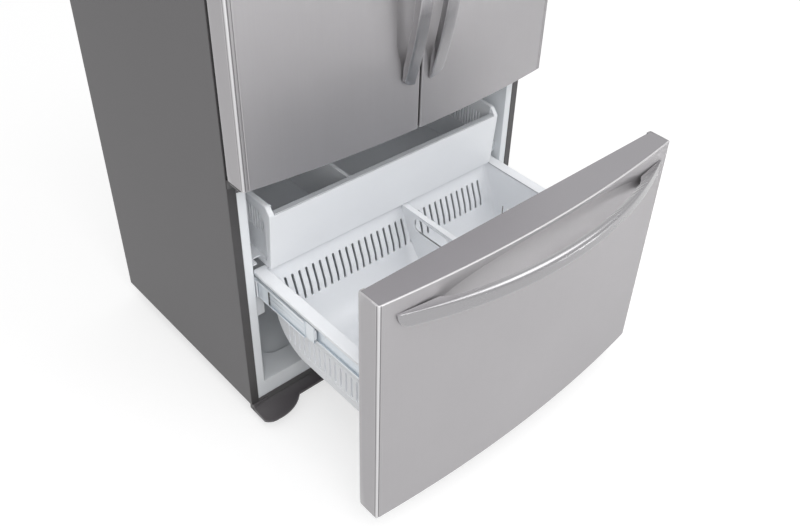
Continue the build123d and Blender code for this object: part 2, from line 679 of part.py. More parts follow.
inner_web = outer_web - 3 * slide_depth - 2 * run
inner_top = basket_rim - liner - seat
with BuildPart() as slide_inner:
    for side in (-1, 1):
        channel(side, inner_web, slide_low + 8, inner_top, drawer_back + seat,
                drawer_mid + slide_length - 20, 1)
        box(side * inner_web, side * (outer_web - slide_depth - run - slide_sheet - run),
            stop_front + stop_length + 16, drawer_mid + slide_length - 20,
            slide_low + 4 + slide_sheet + run, slide_high - 4 - slide_sheet - run)
save(slide_inner.part, "slide_inner_members")

# ---------------------------------------------------------------- inner pull-out drawer
rail_top = tub_low + 12
with BuildPart() as inner_drawer_rails:
    for side in (-1, 1):
        box(side * (inner_half - seat), side * (tub_half + 18), front + 24, front + rail_length,
            rail_top - 4, rail_top)
        box(side * (inner_half - seat), side * (inner_half - 4), front + 24, front + rail_length,
            rail_top - 4, rail_top + 26)
save(inner_drawer_rails.part, "inner_drawer_rails")

tub_y = front - tub_front_high
tub_end = front + tub_depth
side_wall = 4.0
with BuildPart() as inner_drawer:
    with BuildSketch(Plane.YZ):
        with BuildLine():
            Polyline(
                (front - tub_front_low, tub_low),
                (tub_end, tub_low),
                (tub_end, tub_top),
                (tub_y + tub_chamfer, tub_top),
                (tub_y, tub_front_top),
                (front - tub_front_low, tub_low),
            )
        make_face()
    extrude(amount=tub_half, both=True)
    box(-tub_half + side_wall, tub_half - side_wall, tub_y + tub_ledge, tub_end - liner,
        tub_low + liner, tub_top + 1, mode=Mode.SUBTRACT)
    box(-tub_half + side_wall, tub_half - side_wall, tub_y - 1, tub_y + tub_ledge + 1,
        tub_front_top, tub_top + 1, mode=Mode.SUBTRACT)
    for side in (-1, 1):
        with BuildSketch(Plane.YZ.offset(side * tub_half)):
            with BuildLine():
                Polyline(
                    (tub_y + 22, tub_low + 20),
                    (tub_end - 22, tub_low + 20),
                    (tub_end - 22, tub_top - 25),
                    (tub_y + 47, tub_top - 25),
                    (tub_y + 22, tub_top - 46),
                    (tub_y + 22, tub_low + 20),
                )
            make_face()
        extrude(amount=-side * 2, mode=Mode.SUBTRACT)
        box(side * (tub_half - 2.5), side * (inner_half - 6), front + 40, tub_end - 20,
            rail_top + seat, rail_top + 5)
    box(-120, -116, tub_y + tub_ledge, tub_end - liner, tub_low + liner, tub_front_top - 16)
save(inner_drawer.part, "inner_drawer")

with BuildPart() as inner_drawer_trim:
    box(-tub_half + side_wall + 1, tub_half - side_wall - 1, tub_y, tub_y + tub_ledge,
        tub_front_top + seat, tub_front_top + 3.5)
save(inner_drawer_trim.part, "inner_drawer_trim")

# ---------------------------------------------------------------- fresh food fittings
with BuildPart() as glass_shelves:
    for level in shelf_levels:
        box(-inner_half + 2, inner_half - 2, shelf_front, shelf_back, level, level + glass)
        box(-inner_half + 2, inner_half - 2, shelf_front - 8, shelf_front + 8, level, level + 9)
save(glass_shelves.part, "glass_shelves")

with BuildPart() as crisper_cover:
    box(-inner_half + 2, inner_half - 2, shelf_front, shelf_back, crisper_lid,
        crisper_lid + glass)
    box(-6, 6, shelf_front + 4, shelf_back - 4, fresh_floor + seat, crisper_lid)
save(crisper_cover.part, "crisper_cover")

crisper_tall = crisper_lid - fresh_floor - 12
for side, name in ((-1, "left"), (1, "right")):
    with BuildPart() as crisper:
        x_in, x_out = 8.0, inner_half - 21
        box(side * x_in, side * x_out, shelf_front, shelf_back - 30, fresh_floor + run,
            fresh_floor + crisper_tall)
        box(side * (x_in + liner), side * (x_out - liner), shelf_front + 2 * liner,
            shelf_back - 30 - liner, fresh_floor + run + liner, crisper_lid, mode=Mode.SUBTRACT)
        box(side * (x_in + 90), side * (x_out - 90), shelf_front - 14, shelf_front,
            fresh_floor + crisper_tall - 30, fresh_floor + crisper_tall - 12)
    save(crisper.part, f"crisper_{name}")

duct_tall = fresh_top - crisper_lid - 40
with BuildPart() as air_duct:
    with BuildSketch(Plane.XY.offset(crisper_lid + 12)):
        with BuildLine():
            Polyline((-130, front + fresh_depth - seat), (-100, front + fresh_depth - 22),
                     (100, front + fresh_depth - 22), (130, front + fresh_depth - seat),
                     (-130, front + fresh_depth - seat))
        make_face()
    extrude(amount=duct_tall)
    with BuildSketch(Plane.XZ.offset(-(front + fresh_depth - 23))):
        with Locations((0, crisper_lid + 12 + duct_tall / 2)):
            with GridLocations(110, duct_tall / 4.5, 2, 4):
                Rectangle(60, 12)
    extrude(amount=-8, mode=Mode.SUBTRACT)
save(air_duct.part, "air_duct")

light_half = inner_half - 260
with BuildPart() as light_cover:
    box(-light_half, light_half, shelf_front + 30, shelf_front + 110, fresh_top - 12,
        fresh_top - seat)
    chamfer(light_cover.faces().sort_by(Axis.Z)[0].edges(), 4)
save(light_cover.part, "light_cover")

# ---------------------------------------------------------------- freezer fan and evaporator
cooler_depth = 73.0           # space for the evaporator behind its cover
cover_y = front + freezer_depth - cooler_depth
fan_z, fan_radius = freezer_top - 95, 52.0
with BuildPart() as evaporator_cover:
    box(-inner_half + seat, inner_half - seat, cover_y, cover_y + liner,
        freezer_floor + hump_rise + seat, freezer_top - seat)
    with BuildSketch(Plane.XZ.offset(-(cover_y - 1))):
        with Locations((0, fan_z - 120)):
            with GridLocations(120, 1, 5, 1):
                Rectangle(80, 10)
        with Locations((0, fan_z)):
            with GridLocations(1, 24, 1, 3):
                Rectangle(84, 12)
    extrude(amount=-8, mode=Mode.SUBTRACT)
    with Locations((0, cover_y + liner + 2, fan_z)):
        Cylinder(9, 4, rotation=(90, 0, 0))
    with Locations((0, cover_y + liner + 12, fan_z)):
        Cylinder(2.5, 20, rotation=(90, 0, 0))
save(evaporator_cover.part, "evaporator_cover")


def rotor(x, y, z, hub, tip, thick, blades):
    """A fan rotor on an axis along y, with twisted blades."""
    with BuildSketch(Plane.XZ.offset(-y - thick / 2)) as disc:
        with Locations((x, z)):
            RegularPolygon(hub, 12)
    extrude(disc.sketch, amount=thick)
    for k in range(blades):
        angle = 360 / blades * k
        span = tip - hub + 3
        middle = hub + span / 2 - 3
        place = Location((x + middle * cos(radians(angle)), y, z + middle * sin(radians(angle))),
                         (0, -angle, 0))
        with Locations(place * Location((0, 0, 0), (35, 0, 0))):
            Box(span, 1.6, thick * 1.3)


with BuildPart() as evaporator_fan:
    rotor(0, cover_y + liner + 14, fan_z, 14, fan_radius, 14, 3)
    with Locations((0, cover_y + liner + 14, fan_z)):
        Cylinder(2.5 + fit, 60, rotation=(90, 0, 0), mode=Mode.SUBTRACT)
save(evaporator_fan.part, "evaporator_fan")

coil_y, coil_low = front + freezer_depth - 30, freezer_floor + hump_rise + seat
coil_half = inner_half - 150
with BuildPart() as evaporator:
    box(-coil_half, coil_half, coil_y - 4, coil_y + 4, coil_low, coil_low + 118)
    for k in range(6):
        x = coil_half * (2 * k / 5 - 1)
        box(x - 1, x + 1, coil_y - 24, coil_y + 24, coil_low, coil_low + 118)
save(evaporator.part, "evaporator")

# ---------------------------------------------------------------- machine space
deck = pan_top
machine_y = back - machine_depth / 2 - 2
comp_x = half - 204
shell_radius, shell_tall = 72.0, 158.0
with BuildPart() as compressor:
    with BuildSketch(Plane.XY.offset(deck + 14)):
        with Locations((comp_x, machine_y)):
            RegularPolygon(shell_radius, 20)
    extrude(amount=shell_tall)
    chamfer(compressor.faces().sort_by(Axis.Z)[-1].edges(), 28)
    box(comp_x - 96, comp_x + 96, machine_y - 50, machine_y + 50, deck + 11, deck + 14)
    for dx in (-82, 82):
        box(comp_x + dx - 9, comp_x + dx + 9, machine_y - 47, machine_y + 47, deck + seat, deck + 11)
save(compressor.part, "compressor")

coil_x0, coil_x1, coil_tall = 64 - half, -110.0, 180.0
with BuildPart() as condenser:
    for x in (coil_x0, coil_x1):
        box(x - 8, x + 8, machine_y - 12, machine_y + 12, deck + seat, deck + coil_tall)
    for k in range(9):
        z = deck + 14 + (coil_tall - 26) / 8 * k
        box(coil_x0 + 6, coil_x1 - 6, machine_y - 11, machine_y + 11, z - 1.2, z + 1.2)
save(condenser.part, "condenser")

fan_x, fan_y, fan_mid, fan_case = 30.0, machine_y, deck + 90.0, 176.0
with BuildPart() as condenser_fan_frame:
    box(fan_x - 80, fan_x + 80, fan_y - 12, fan_y + 12, deck + seat, deck + fan_case)
    with BuildSketch(Plane.XZ.offset(-fan_y - 15)):
        with Locations((fan_x, fan_mid)):
            RegularPolygon(73, 24)
    extrude(amount=30, mode=Mode.SUBTRACT)
    box(fan_x - 76, fan_x + 76, fan_y + 8, fan_y + 12, fan_mid - 3, fan_mid + 3)
    box(fan_x - 17, fan_x + 17, fan_y + 8, fan_y + 26, fan_mid - 17, fan_mid + 17)
    with Locations((fan_x, fan_y - 4, fan_mid)):
        Cylinder(3, 24, rotation=(90, 0, 0))
save(condenser_fan_frame.part, "condenser_fan_frame")

with BuildPart() as condenser_fan:
    rotor(fan_x, fan_y - 3, fan_mid, 18, 66, 14, 3)
    with Locations((fan_x, fan_y, fan_mid)):
        Cylinder(3 + fit, 60, rotation=(90, 0, 0), mode=Mode.SUBTRACT)
save(condenser_fan.part, "condenser_fan")

with BuildPart() as machine_cover:
    box(-panel_inside, panel_inside, back - steel, back, pan_top + seat, back_low - seat)
    with BuildSketch(Plane.XZ.offset(-(back + 1))):
        for x in (-half / 2, half / 2):
            with Locations((x, deck + machine_height / 2)):
                with GridLocations(1, 26, 1, 5):
                    Rectangle(half / 2, 8)
    extrude(amount=8, mode=Mode.SUBTRACT)
save(machine_cover.part, "machine_cover")
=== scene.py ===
import json
import math

import bmesh
import bpy
from mathutils import Matrix, Vector


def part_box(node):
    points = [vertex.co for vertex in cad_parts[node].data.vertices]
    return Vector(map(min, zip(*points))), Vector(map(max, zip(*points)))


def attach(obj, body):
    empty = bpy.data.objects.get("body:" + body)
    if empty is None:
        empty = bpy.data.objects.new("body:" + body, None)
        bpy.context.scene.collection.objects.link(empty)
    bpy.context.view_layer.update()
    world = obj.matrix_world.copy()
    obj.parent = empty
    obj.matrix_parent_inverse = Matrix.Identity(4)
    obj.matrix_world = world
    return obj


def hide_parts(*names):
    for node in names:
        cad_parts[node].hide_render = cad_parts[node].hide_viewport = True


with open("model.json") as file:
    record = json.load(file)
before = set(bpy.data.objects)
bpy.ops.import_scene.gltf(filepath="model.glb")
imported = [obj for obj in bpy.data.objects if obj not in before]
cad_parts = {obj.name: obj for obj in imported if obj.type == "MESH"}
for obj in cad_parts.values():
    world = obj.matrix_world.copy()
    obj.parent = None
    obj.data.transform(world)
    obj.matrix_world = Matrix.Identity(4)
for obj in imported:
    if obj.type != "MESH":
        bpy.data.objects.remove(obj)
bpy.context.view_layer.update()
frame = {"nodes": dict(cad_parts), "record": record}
nodes = frame["nodes"]
scene = bpy.context.scene

# ------------------------------------------------------------------ sizes of the part, in millimetres
MM = 0.001
HALF = 454.0
FRONT = -15.5                     # front plane of the case
OPEN = 427.0                      # how far the drawer stands open
DOOR_BACK = FRONT - 8
DRAWER_BACK = DOOR_BACK - OPEN
EDGE = 60.0                       # thickness of a front at its side edges
BOW = 30.0
RADIUS = (HALF ** 2 + BOW ** 2) / (2 * BOW)
DRAWER_LOW, DRAWER_HIGH = 97.0, 743.0
DOOR_LOW, DOOR_HIGH = 755.0, 1742.0
SHEET = 1.2
FOLD = 2.2                        # outside radius of the folded upper and lower edges
STAND = 64.0                      # a handle's stand-off from the middle of its face
CORNER = 4.5                      # radius of a front's upright outer edges
ALONG = 0.991                     # step in x for each mm along a face by its outer edge


def face_y(back_y, x):
    """The bowed face of a front whose back lies at back_y."""
    return back_y - EDGE - BOW + RADIUS - math.sqrt(RADIUS ** 2 - x ** 2)


# ------------------------------------------------------------------ materials
BUMP_DEPTH = 0.0004               # metres
SHEEN_WHITE = (0.95, 0.95, 0.96, 1.0)  # white of the painted highlight on the steel's beads and folds


def new_material(name):
    m = bpy.data.materials.new(name)
    m.use_nodes = True
    return m, m.node_tree, m.node_tree.nodes["Principled BSDF"]


def fill(nt, socket, value):
    """Links another node's output to a socket, or sets the socket's own value."""
    if isinstance(value, bpy.types.NodeSocket):
        nt.links.new(value, socket)
    else:
        socket.default_value = value


def node(nt, kind, **inputs):
    """A shader node with its inputs filled. _ stands for a space in an input's name."""
    made = nt.nodes.new("ShaderNode" + kind)
    for name, value in inputs.items():
        fill(nt, made.inputs[name.replace("_", " ")], value)
    return made


def maths(nt, operation, a, b):
    made = nt.nodes.new("ShaderNodeMath")
    made.operation = operation
    fill(nt, made.inputs[0], a)
    fill(nt, made.inputs[1], b)
    return made.outputs[0]


def lin(c):
    """A colour given as 0-255 screen values, in linear light."""
    out = []
    for v in c:
        v = v / 255
        out.append(v / 12.92 if v <= 0.04045 else ((v + 0.055) / 1.055) ** 2.4)
    return (*out, 1.0)


def noise(nt, scale, stretch=(1, 1, 1), detail=3.0, seed=0.0):
    """A noise over the object's own coordinates."""
    co = nt.nodes.new("ShaderNodeTexCoord")
    mp = node(nt, "Mapping", Vector=co.outputs["Object"], Scale=stretch,
              Location=(seed, seed * 0.7, seed * 1.3))
    return node(nt, "TexNoise", Vector=mp.outputs["Vector"], Scale=scale, Detail=detail).outputs["Fac"]


def ramp(nt, fac, low, high, a=0.3, b=0.7):
    """Maps a to b onto low to high."""
    return node(nt, "MapRange", Value=fac, From_Min=a, From_Max=b, To_Min=low, To_Max=high).outputs["Result"]


def colour_mix(nt, fac, c0, c1, blend="MIX"):
    mix = nt.nodes.new("ShaderNodeMix")
    mix.data_type = "RGBA"
    mix.blend_type = blend
    for name, value in (("A", c0), ("B", c1), ("Factor", fac)):
        fill(nt, mix.inputs[name], value)
    return mix.outputs["Result"]


def shade(c, k):
    return (c[0] * k, c[1] * k, c[2] * k, 1.0)


def wear_and_sheen(nt, colour, amount):
    """Lighter tone on convex edges: partly rubbing of the edges, partly painted highlight."""
    geo = nt.nodes.new("ShaderNodeNewGeometry")
    convex = ramp(nt, geo.outputs["Pointiness"], 0.0, amount, 0.52, 0.60)
    return colour_mix(nt, convex, colour, (1.0, 1.0, 1.0, 1.0))


def finish(nt, bsdf, height, strength, bevel):
    """Bump from a height value, over edges rounded in the shading by bevel metres."""
    b = node(nt, "Bump", Strength=strength, Distance=BUMP_DEPTH, Height=height)
    if bevel:
        v = node(nt, "Bevel", Radius=bevel)
        v.samples = 4
        nt.links.new(v.outputs["Normal"], b.inputs["Normal"])
    nt.links.new(b.outputs["Normal"], bsdf.inputs["Normal"])


def steel(name, colour, rough=0.34, along=(700, 700, 5), vary=0.02, metal=1.0, bevel=0.0, bump=0.03):
    """Brushed steel whose grain runs where the stretch is small."""
    m, nt, bsdf = new_material(name)
    c = lin(colour)
    grain = noise(nt, 1.0, along, 2.0)
    broad = noise(nt, 1.6, (1, 1, 0.6), 2.0, seed=3.1)
    smudge = noise(nt, 5.0, (1, 1, 1), 4.0, seed=7.7)
    mixed = colour_mix(nt, ramp(nt, grain, 0, 1), shade(c, 1 - vary), shade(c, 1 + vary))
    drift = colour_mix(nt, ramp(nt, broad, 0, 1), (0.97, 0.97, 0.97, 1), (1.02, 1.02, 1.02, 1))
    # convex edges lightened: partly rubbing, partly painted highlight
    worn_and_sheen = wear_and_sheen(nt, colour_mix(nt, 1.0, mixed, drift, "MULTIPLY"), 0.45)
    # painted highlight on the beads and folds, from a value stored on the mesh's points
    painted_sheen = nt.nodes.new("ShaderNodeAttribute")
    painted_sheen.attribute_name = "rub_and_sheen"
    nt.links.new(colour_mix(nt, painted_sheen.outputs["Fac"], worn_and_sheen, SHEEN_WHITE), bsdf.inputs["Base Color"])
    bsdf.inputs["Metallic"].default_value = metal
    fill(nt, bsdf.inputs["Roughness"], maths(nt, "ADD", ramp(nt, grain, rough - 0.02, rough + 0.02),
                                             ramp(nt, smudge, -0.015, 0.03)))
    finish(nt, bsdf, grain, bump, bevel)
    return m


def plastic(name, colour, rough=0.4, scale=90.0, bump=0.05, bevel=0.0, metal=0.0, clear=0.0, rub_and_sheen=0.12,
            gloss=0.5):
    """Moulded plastic, rubber or paint with a fine texture, a faint drift of tone and lighter convex edges,
    partly from rubbing and partly painted highlight.
    """
    m, nt, bsdf = new_material(name)
    c = lin(colour)
    fine = noise(nt, scale * 8, detail=2.0)
    broad = noise(nt, 4.0, detail=3.0, seed=1.7)
    tone = colour_mix(nt, ramp(nt, broad, 0, 1), shade(c, 0.98), shade(c, 1.02))
    # convex edges lightened: partly rubbing, partly painted highlight
    nt.links.new(wear_and_sheen(nt, tone, rub_and_sheen), bsdf.inputs["Base Color"])
    bsdf.inputs["Metallic"].default_value = metal
    bsdf.inputs["Specular IOR Level"].default_value = gloss
    bsdf.inputs["Transmission Weight"].default_value = clear
    nt.links.new(ramp(nt, fine, rough - 0.03, rough + 0.04), bsdf.inputs["Roughness"])
    finish(nt, bsdf, fine, bump, bevel)
    return m


M = {
    "side_paint": plastic("side_paint", (62, 59, 62), rough=0.46, bevel=0.0012, scale=60, bump=0.10,
                          gloss=0.2),
    "stainless": steel("stainless", (175, 173, 175), rough=0.54),
    "handle_steel": steel("handle_steel", (157, 156, 158), rough=0.24, along=(6, 600, 600), vary=0.004,
                          bump=0.006),
    "cap_grey": plastic("cap_grey", (148, 146, 149), rough=0.36, metal=0.6, rub_and_sheen=0.0),
    "dark_plastic": plastic("dark_plastic", (74, 70, 73), rough=0.45, bevel=0.001, gloss=0.35),
    "dark_steel": plastic("dark_steel", (49, 46, 47), rough=0.42, bevel=0.001, metal=0.2, gloss=0.3),
    "black_steel": plastic("black_steel", (34, 34, 36), rough=0.45, bevel=0.001),
    "zinc_steel": plastic("zinc_steel", (140, 139, 141), rough=0.4, metal=0.6, bevel=0.001),
    "white_liner": plastic("white_liner", (234, 237, 240), rough=0.32, bevel=0.004),
    "white_plastic": plastic("white_plastic", (238, 240, 243), rough=0.32, bevel=0.0008),
    "trim_grey": plastic("trim_grey", (192, 194, 198), rough=0.4, bevel=0.001),
    "seal_grey": plastic("seal_grey", (190, 191, 194), rough=0.6, bevel=0.001),
    "slide_steel": steel("slide_steel", (222, 229, 235), rough=0.3, along=(700, 6, 700), metal=0.55,
                         bevel=0.0005),
    "foam": plastic("foam", (228, 218, 178), rough=0.8, scale=30, bump=0.3),
    "aluminium": steel("aluminium", (205, 206, 208), rough=0.35, along=(700, 700, 6)),
    "clear_plastic": plastic("clear_plastic", (238, 243, 246), rough=0.14, bevel=0.001, clear=0.8),
    "clear_glass": plastic("clear_glass", (226, 240, 238), rough=0.06, bevel=0.001, clear=0.9),
}
for sub in frame["record"]["subparts"]:
    obj = nodes[sub["node"]]
    obj.data.materials.clear()
    obj.data.materials.append(M[sub["material_slot"]])


# ------------------------------------------------------------------ mesh tools
def piece(name, verts, faces, body, slot, replaces=(), smooth=35.0, rub_and_sheen=None):
    """A closed mesh in millimetres, riding on a body and finished as a slot of the record."""
    me = bpy.data.meshes.new(name)
    me.from_pydata([(x * MM, y * MM, z * MM) for x, y, z in verts], [], faces)
    bm = bmesh.new()
    bm.from_mesh(me)
    bmesh.ops.remove_doubles(bm, verts=bm.verts, dist=2e-6)
    bmesh.ops.dissolve_degenerate(bm, edges=bm.edges, dist=1e-6)
    bmesh.ops.recalc_face_normals(bm, faces=bm.faces)
    bm.to_mesh(me)
    bm.free()
    return dress(name, me, body, slot, replaces, smooth, rub_and_sheen)


def dress(name, me, body, slot, replaces=(), smooth=35.0, rub_and_sheen=None):
    """Makes the object; the last argument gives how much painted highlight the metal has at each point."""
    if rub_and_sheen:
        amount = me.attributes.new("rub_and_sheen", "FLOAT", "POINT")
        for v in me.vertices:
            amount.data[v.index].value = rub_and_sheen(*(v.co / MM))
    me.materials.clear()
    me.materials.append(M[slot])
    for p in me.polygons:
        p.use_smooth = True
    me.set_sharp_from_angle(angle=math.radians(smooth))
    obj = bpy.data.objects.new(name, me)
    scene.collection.objects.link(obj)
    even = obj.modifiers.new("even", "WEIGHTED_NORMAL")
    even.keep_sharp = True
    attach(obj, body)
    if replaces:
        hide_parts(*replaces)
    return obj


def loft(rings, wrap=False):
    """Faces between closed rings of equal length: the ends are capped, or the last joins the first."""
    n = len(rings[0])
    verts = [p for ring in rings for p in ring]
    faces = []
    count = len(rings) if wrap else len(rings) - 1
    for i in range(count):
        a, b = i * n, (i + 1) % len(rings) * n
        for j in range(n):
            k = (j + 1) % n
            faces.append((a + j, a + k, b + k, b + j))
    if not wrap:
        faces.append(tuple(range(n))[::-1])
        faces.append(tuple(range((len(rings) - 1) * n, len(rings) * n)))
    return verts, faces


def joined(*parts):
    """Several closed shells as one."""
    verts, faces = [], []
    for v, f in parts:
        base = len(verts)
        verts += v
        faces += [tuple(i + base for i in face) for face in f]
    return verts, faces


def shell(outer, inner):
    """A thin closed sheet from two grids of the same size."""
    rows, cols = len(outer), len(outer[0])
    verts = [p for row in outer for p in row] + [p for row in inner for p in row]
    base = rows * cols
    faces = []
    for i in range(rows - 1):
        for j in range(cols - 1):
            a, b = i * cols + j, (i + 1) * cols + j
            faces.append((a, a + 1, b + 1, b))
            faces.append((base + a, base + b, base + b + 1, base + a + 1))
    for i in range(rows - 1):
        for j in (0, cols - 1):
            a, b = i * cols + j, (i + 1) * cols + j
            faces.append((a, b, base + b, base + a))
    for j in range(cols - 1):
        for i in (0, rows - 1):
            a = i * cols + j
            faces.append((a, a + 1, base + a + 1, base + a))
    return verts, faces


def round_poly(points, radii, steps=5):
    """A closed 2-D polygon with its corners rounded."""
    out = []
    n = len(points)
    for i, (p, r) in enumerate(zip(points, radii)):
        p = Vector(p)
        a = (Vector(points[i - 1]) - p).normalized()
        b = (Vector(points[(i + 1) % n]) - p).normalized()
        if r <= 0:
            out.append((p.x, p.y))
            continue
        half_angle = a.angle(b) / 2
        cut = r / math.tan(half_angle)
        centre = p + (a + b).normalized() * (r / math.sin(half_angle))
        s = p + a * cut - centre
        e = p + b * cut - centre
        turn = math.atan2(s.x * e.y - s.y * e.x, s.dot(e))
        for k in range(steps + 1):
            t = turn * k / steps
            out.append((centre.x + s.x * math.cos(t) - s.y * math.sin(t),
                        centre.y + s.x * math.sin(t) + s.y * math.cos(t)))
    return out


def grown(points, amount):
    """A closed 2-D polygon moved outwards by amount, corner by corner."""
    area = sum(points[i - 1][0] * p[1] - p[0] * points[i - 1][1] for i, p in enumerate(points))
    sign = 1 if area > 0 else -1
    out = []
    n = len(points)
    for i, p in enumerate(points):
        a = Vector(p) - Vector(points[i - 1])
        b = Vector(points[(i + 1) % n]) - Vector(p)
        na = Vector((a.y, -a.x)).normalized() * sign
        nb = Vector((b.y, -b.x)).normalized() * sign
        m = (na + nb).normalized()
        out.append((p[0] + m.x * amount / max(0.35, m.dot(na)), p[1] + m.y * amount / max(0.35, m.dot(na))))
    return out


def bar(outline, place, low, high, edge=0.6):
    """A prism over a closed outline with eased ends. place turns (u, v, w) into x, y, z."""
    rings = []
    for w, inset in ((low, edge), (low + edge * 0.3, edge * 0.3), (low + edge, 0), (high - edge, 0),
                     (high - edge * 0.3, edge * 0.3), (high, edge)):
        rings.append([place(u, v, w) for u, v in grown(outline, -inset)])
    return loft(rings)


def along_x(u, v, w):
    return (w, u, v)


def along_y(u, v, w):
    return (u, w, v)


def along_z(u, v, w):
    return (u, v, w)


def rect(u0, u1, v0, v1, r=0.0, steps=4):
    u0, u1 = sorted((u0, u1))
    v0, v1 = sorted((v0, v1))
    return round_poly([(u0, v0), (u1, v0), (u1, v1), (u0, v1)], [r] * 4, steps)


def block(x0, x1, y0, y1, z0, z1, edge=0.6, r=0.0):
    z0, z1 = sorted((z0, z1))
    return bar(rect(x0, x1, y0, y1, r), along_z, z0, z1, edge)


def temp(verts, faces, bevel_edges=None, width=0.0, segments=3):
    """A helper solid for boolean work."""
    me = bpy.data.meshes.new("temp")
    me.from_pydata([(x * MM, y * MM, z * MM) for x, y, z in verts], [], faces)
    bm = bmesh.new()
    bm.from_mesh(me)
    bmesh.ops.recalc_face_normals(bm, faces=bm.faces)
    if bevel_edges:
        chosen = [e for e in bm.edges if bevel_edges([v.co / MM for v in e.verts])]
        bmesh.ops.bevel(bm, geom=chosen, offset=width * MM, segments=segments, profile=0.5,
                        affect="EDGES", clamp_overlap=True)
    bm.to_mesh(me)
    bm.free()
    obj = bpy.data.objects.new("temp", me)
    scene.collection.objects.link(obj)
    return obj


def carve(solid, *cutters):
    """The mesh of a solid with the cutters taken out. All of them are used up."""
    for cutter in cutters:
        mod = solid.modifiers.new("cut", "BOOLEAN")
        mod.operation = "DIFFERENCE"
        mod.solver = "EXACT"
        mod.object = cutter
    deps = bpy.context.evaluated_depsgraph_get()
    me = bpy.data.meshes.new_from_object(solid.evaluated_get(deps))
    for o in (solid, *cutters):
        bpy.data.objects.remove(o)
    return me


def add_mesh(me, verts, faces):
    """Adds a closed shell in millimetres to a mesh."""
    bm = bmesh.new()
    bm.from_mesh(me)
    made = [bm.verts.new((x * MM, y * MM, z * MM)) for x, y, z in verts]
    new_faces = []
    for face in faces:
        new_faces.append(bm.faces.new([made[i] for i in face]))
    bmesh.ops.recalc_face_normals(bm, faces=new_faces)
    bm.to_mesh(me)
    bm.free()


# ------------------------------------------------------------------ folded sheets of the fronts
def dip(s, centre, width, depth):
    """The relief of one rounded groove at s."""
    t = abs(s - centre) / width
    return -depth * 0.5 * (1 + math.cos(math.pi * t)) if t < 1 else 0.0


def corner_columns(back_y, side_grooves, face_grooves):
    """Columns from the rear lip round the outer edge to the face: x, y, normal, relief, on the face or not.

    They are for the left side. s runs along the sheet from the corner, positive on the face."""
    edge_y = back_y - EDGE
    slope = HALF / math.sqrt(RADIUS ** 2 - HALF ** 2)
    fn = Vector((-slope, -1)).normalized()
    r = CORNER
    cx, cy = -HALF + r, edge_y - slope * r + r * math.sqrt(1 + slope ** 2)
    cols = [(-440.0, back_y, 0, 1, 0, False), (-449.0, back_y, 0, 1, 0, False),
            (-452.5, back_y - 1.2, -0.7, 0.7, 0, False), (-HALF, back_y - 5, -1, 0, 0, False),
            (-HALF, back_y - 22, -1, 0, 0, False)]
    for s in (-26, -18, -14, -11, -9, -7, -6, -5, -4.2, -3.4, -2.8, -2.2, -1.6, -1.0, -0.4, 0):
        relief = sum(dip(s, *g) for g in side_grooves)
        cols.append((-HALF, cy - s, -1, 0, relief, False))
    for k in range(1, 7):
        a = math.pi + (math.atan2(-fn.y, -fn.x)) * k / 6
        cols.append((cx + r * math.cos(a), cy + r * math.sin(a), math.cos(a), math.sin(a), 0, False))
    x0 = cols[-1][0]
    for s in (0.7, 1.4, 2.1, 2.8, 3.5, 4.2, 5, 6, 7, 8, 9, 9.8, 10.6, 11.4, 12.2, 13, 14, 15.5, 17):
        x = x0 + s * ALONG
        relief = sum(dip(s, *g) for g in face_grooves)
        cols.append((x, face_y(back_y, x), fn.x, fn.y, relief, True))
    return cols


def face_column(back_y, x):
    n = Vector((x / RADIUS, -math.sqrt(1 - (x / RADIUS) ** 2)))
    return (x, face_y(back_y, x), n.x, n.y, 0.0, True)


def mirrored(cols):
    return [(-x, y, -nx, ny, r, f) for x, y, nx, ny, r, f in reversed(cols)]


def fold_rows(low, high):
    """Both folded ends, in rows of outer inset and z, inner inset and z, and the grooves' strength."""
    end = []
    for k in range(5):
        a = math.radians(90 * k / 4)
        t = FOLD - SHEET
        end.append((FOLD - FOLD * math.cos(a), FOLD * math.sin(a), FOLD - t * math.cos(a), t * math.sin(a),
                    1 - k / 4))
    end.append((FOLD + 1.4, FOLD, FOLD + 1.4, FOLD - SHEET, 0))
    top = [(o, high - FOLD + z, i, high - FOLD + iz, g) for o, z, i, iz, g in end]
    bottom = [(o, low + FOLD - z, i, low + FOLD - iz, g) for o, z, i, iz, g in reversed(end)]
    return bottom, top


SIDE_GROOVES = ((-2.2, 2.0, 2.0),)
DRAWER_GROOVES = ((2.2, 2.0, 2.0), (8.4, 2.6, -0.25))
DOOR_GROOVES = ((2.4, 2.0, 2.0), (9.1, 1.8, 0.9), (12.1, 1.8, -0.3))


def sheet_point(col, inset, relief):
    """A column's point, moved in by inset and out by relief."""
    x, y, nx, ny = col[:4]
    return x + nx * (relief - inset), y + ny * (relief - inset)


def caps(name, columns, low, high, body, replaces):
    """Both end caps of a front, set into its folded edges."""
    parts = []
    for z_out, up in ((high, 1), (low, -1)):
        rings = []
        for inset, z in ((FOLD + 1.9, 8.8), (FOLD + 1.9, 1.3), (FOLD + 2.05, 0.75), (FOLD + 2.25, 0.45)):
            rings.append([(*sheet_point(c, inset, 0), z_out - up * z) for c in columns])
        mid_x = (columns[0][0] + columns[-1][0]) / 2
        mid_y = columns[0][1] - EDGE / 2
        for k in (0.93, 0.8):
            rings.append([(mid_x + (x - mid_x) * k, mid_y + (y - mid_y) * k, z) for x, y, z in rings[3]])
        parts.append(loft(rings))
    return piece(name, *joined(*parts), body, "cap_grey", replaces, smooth=50)


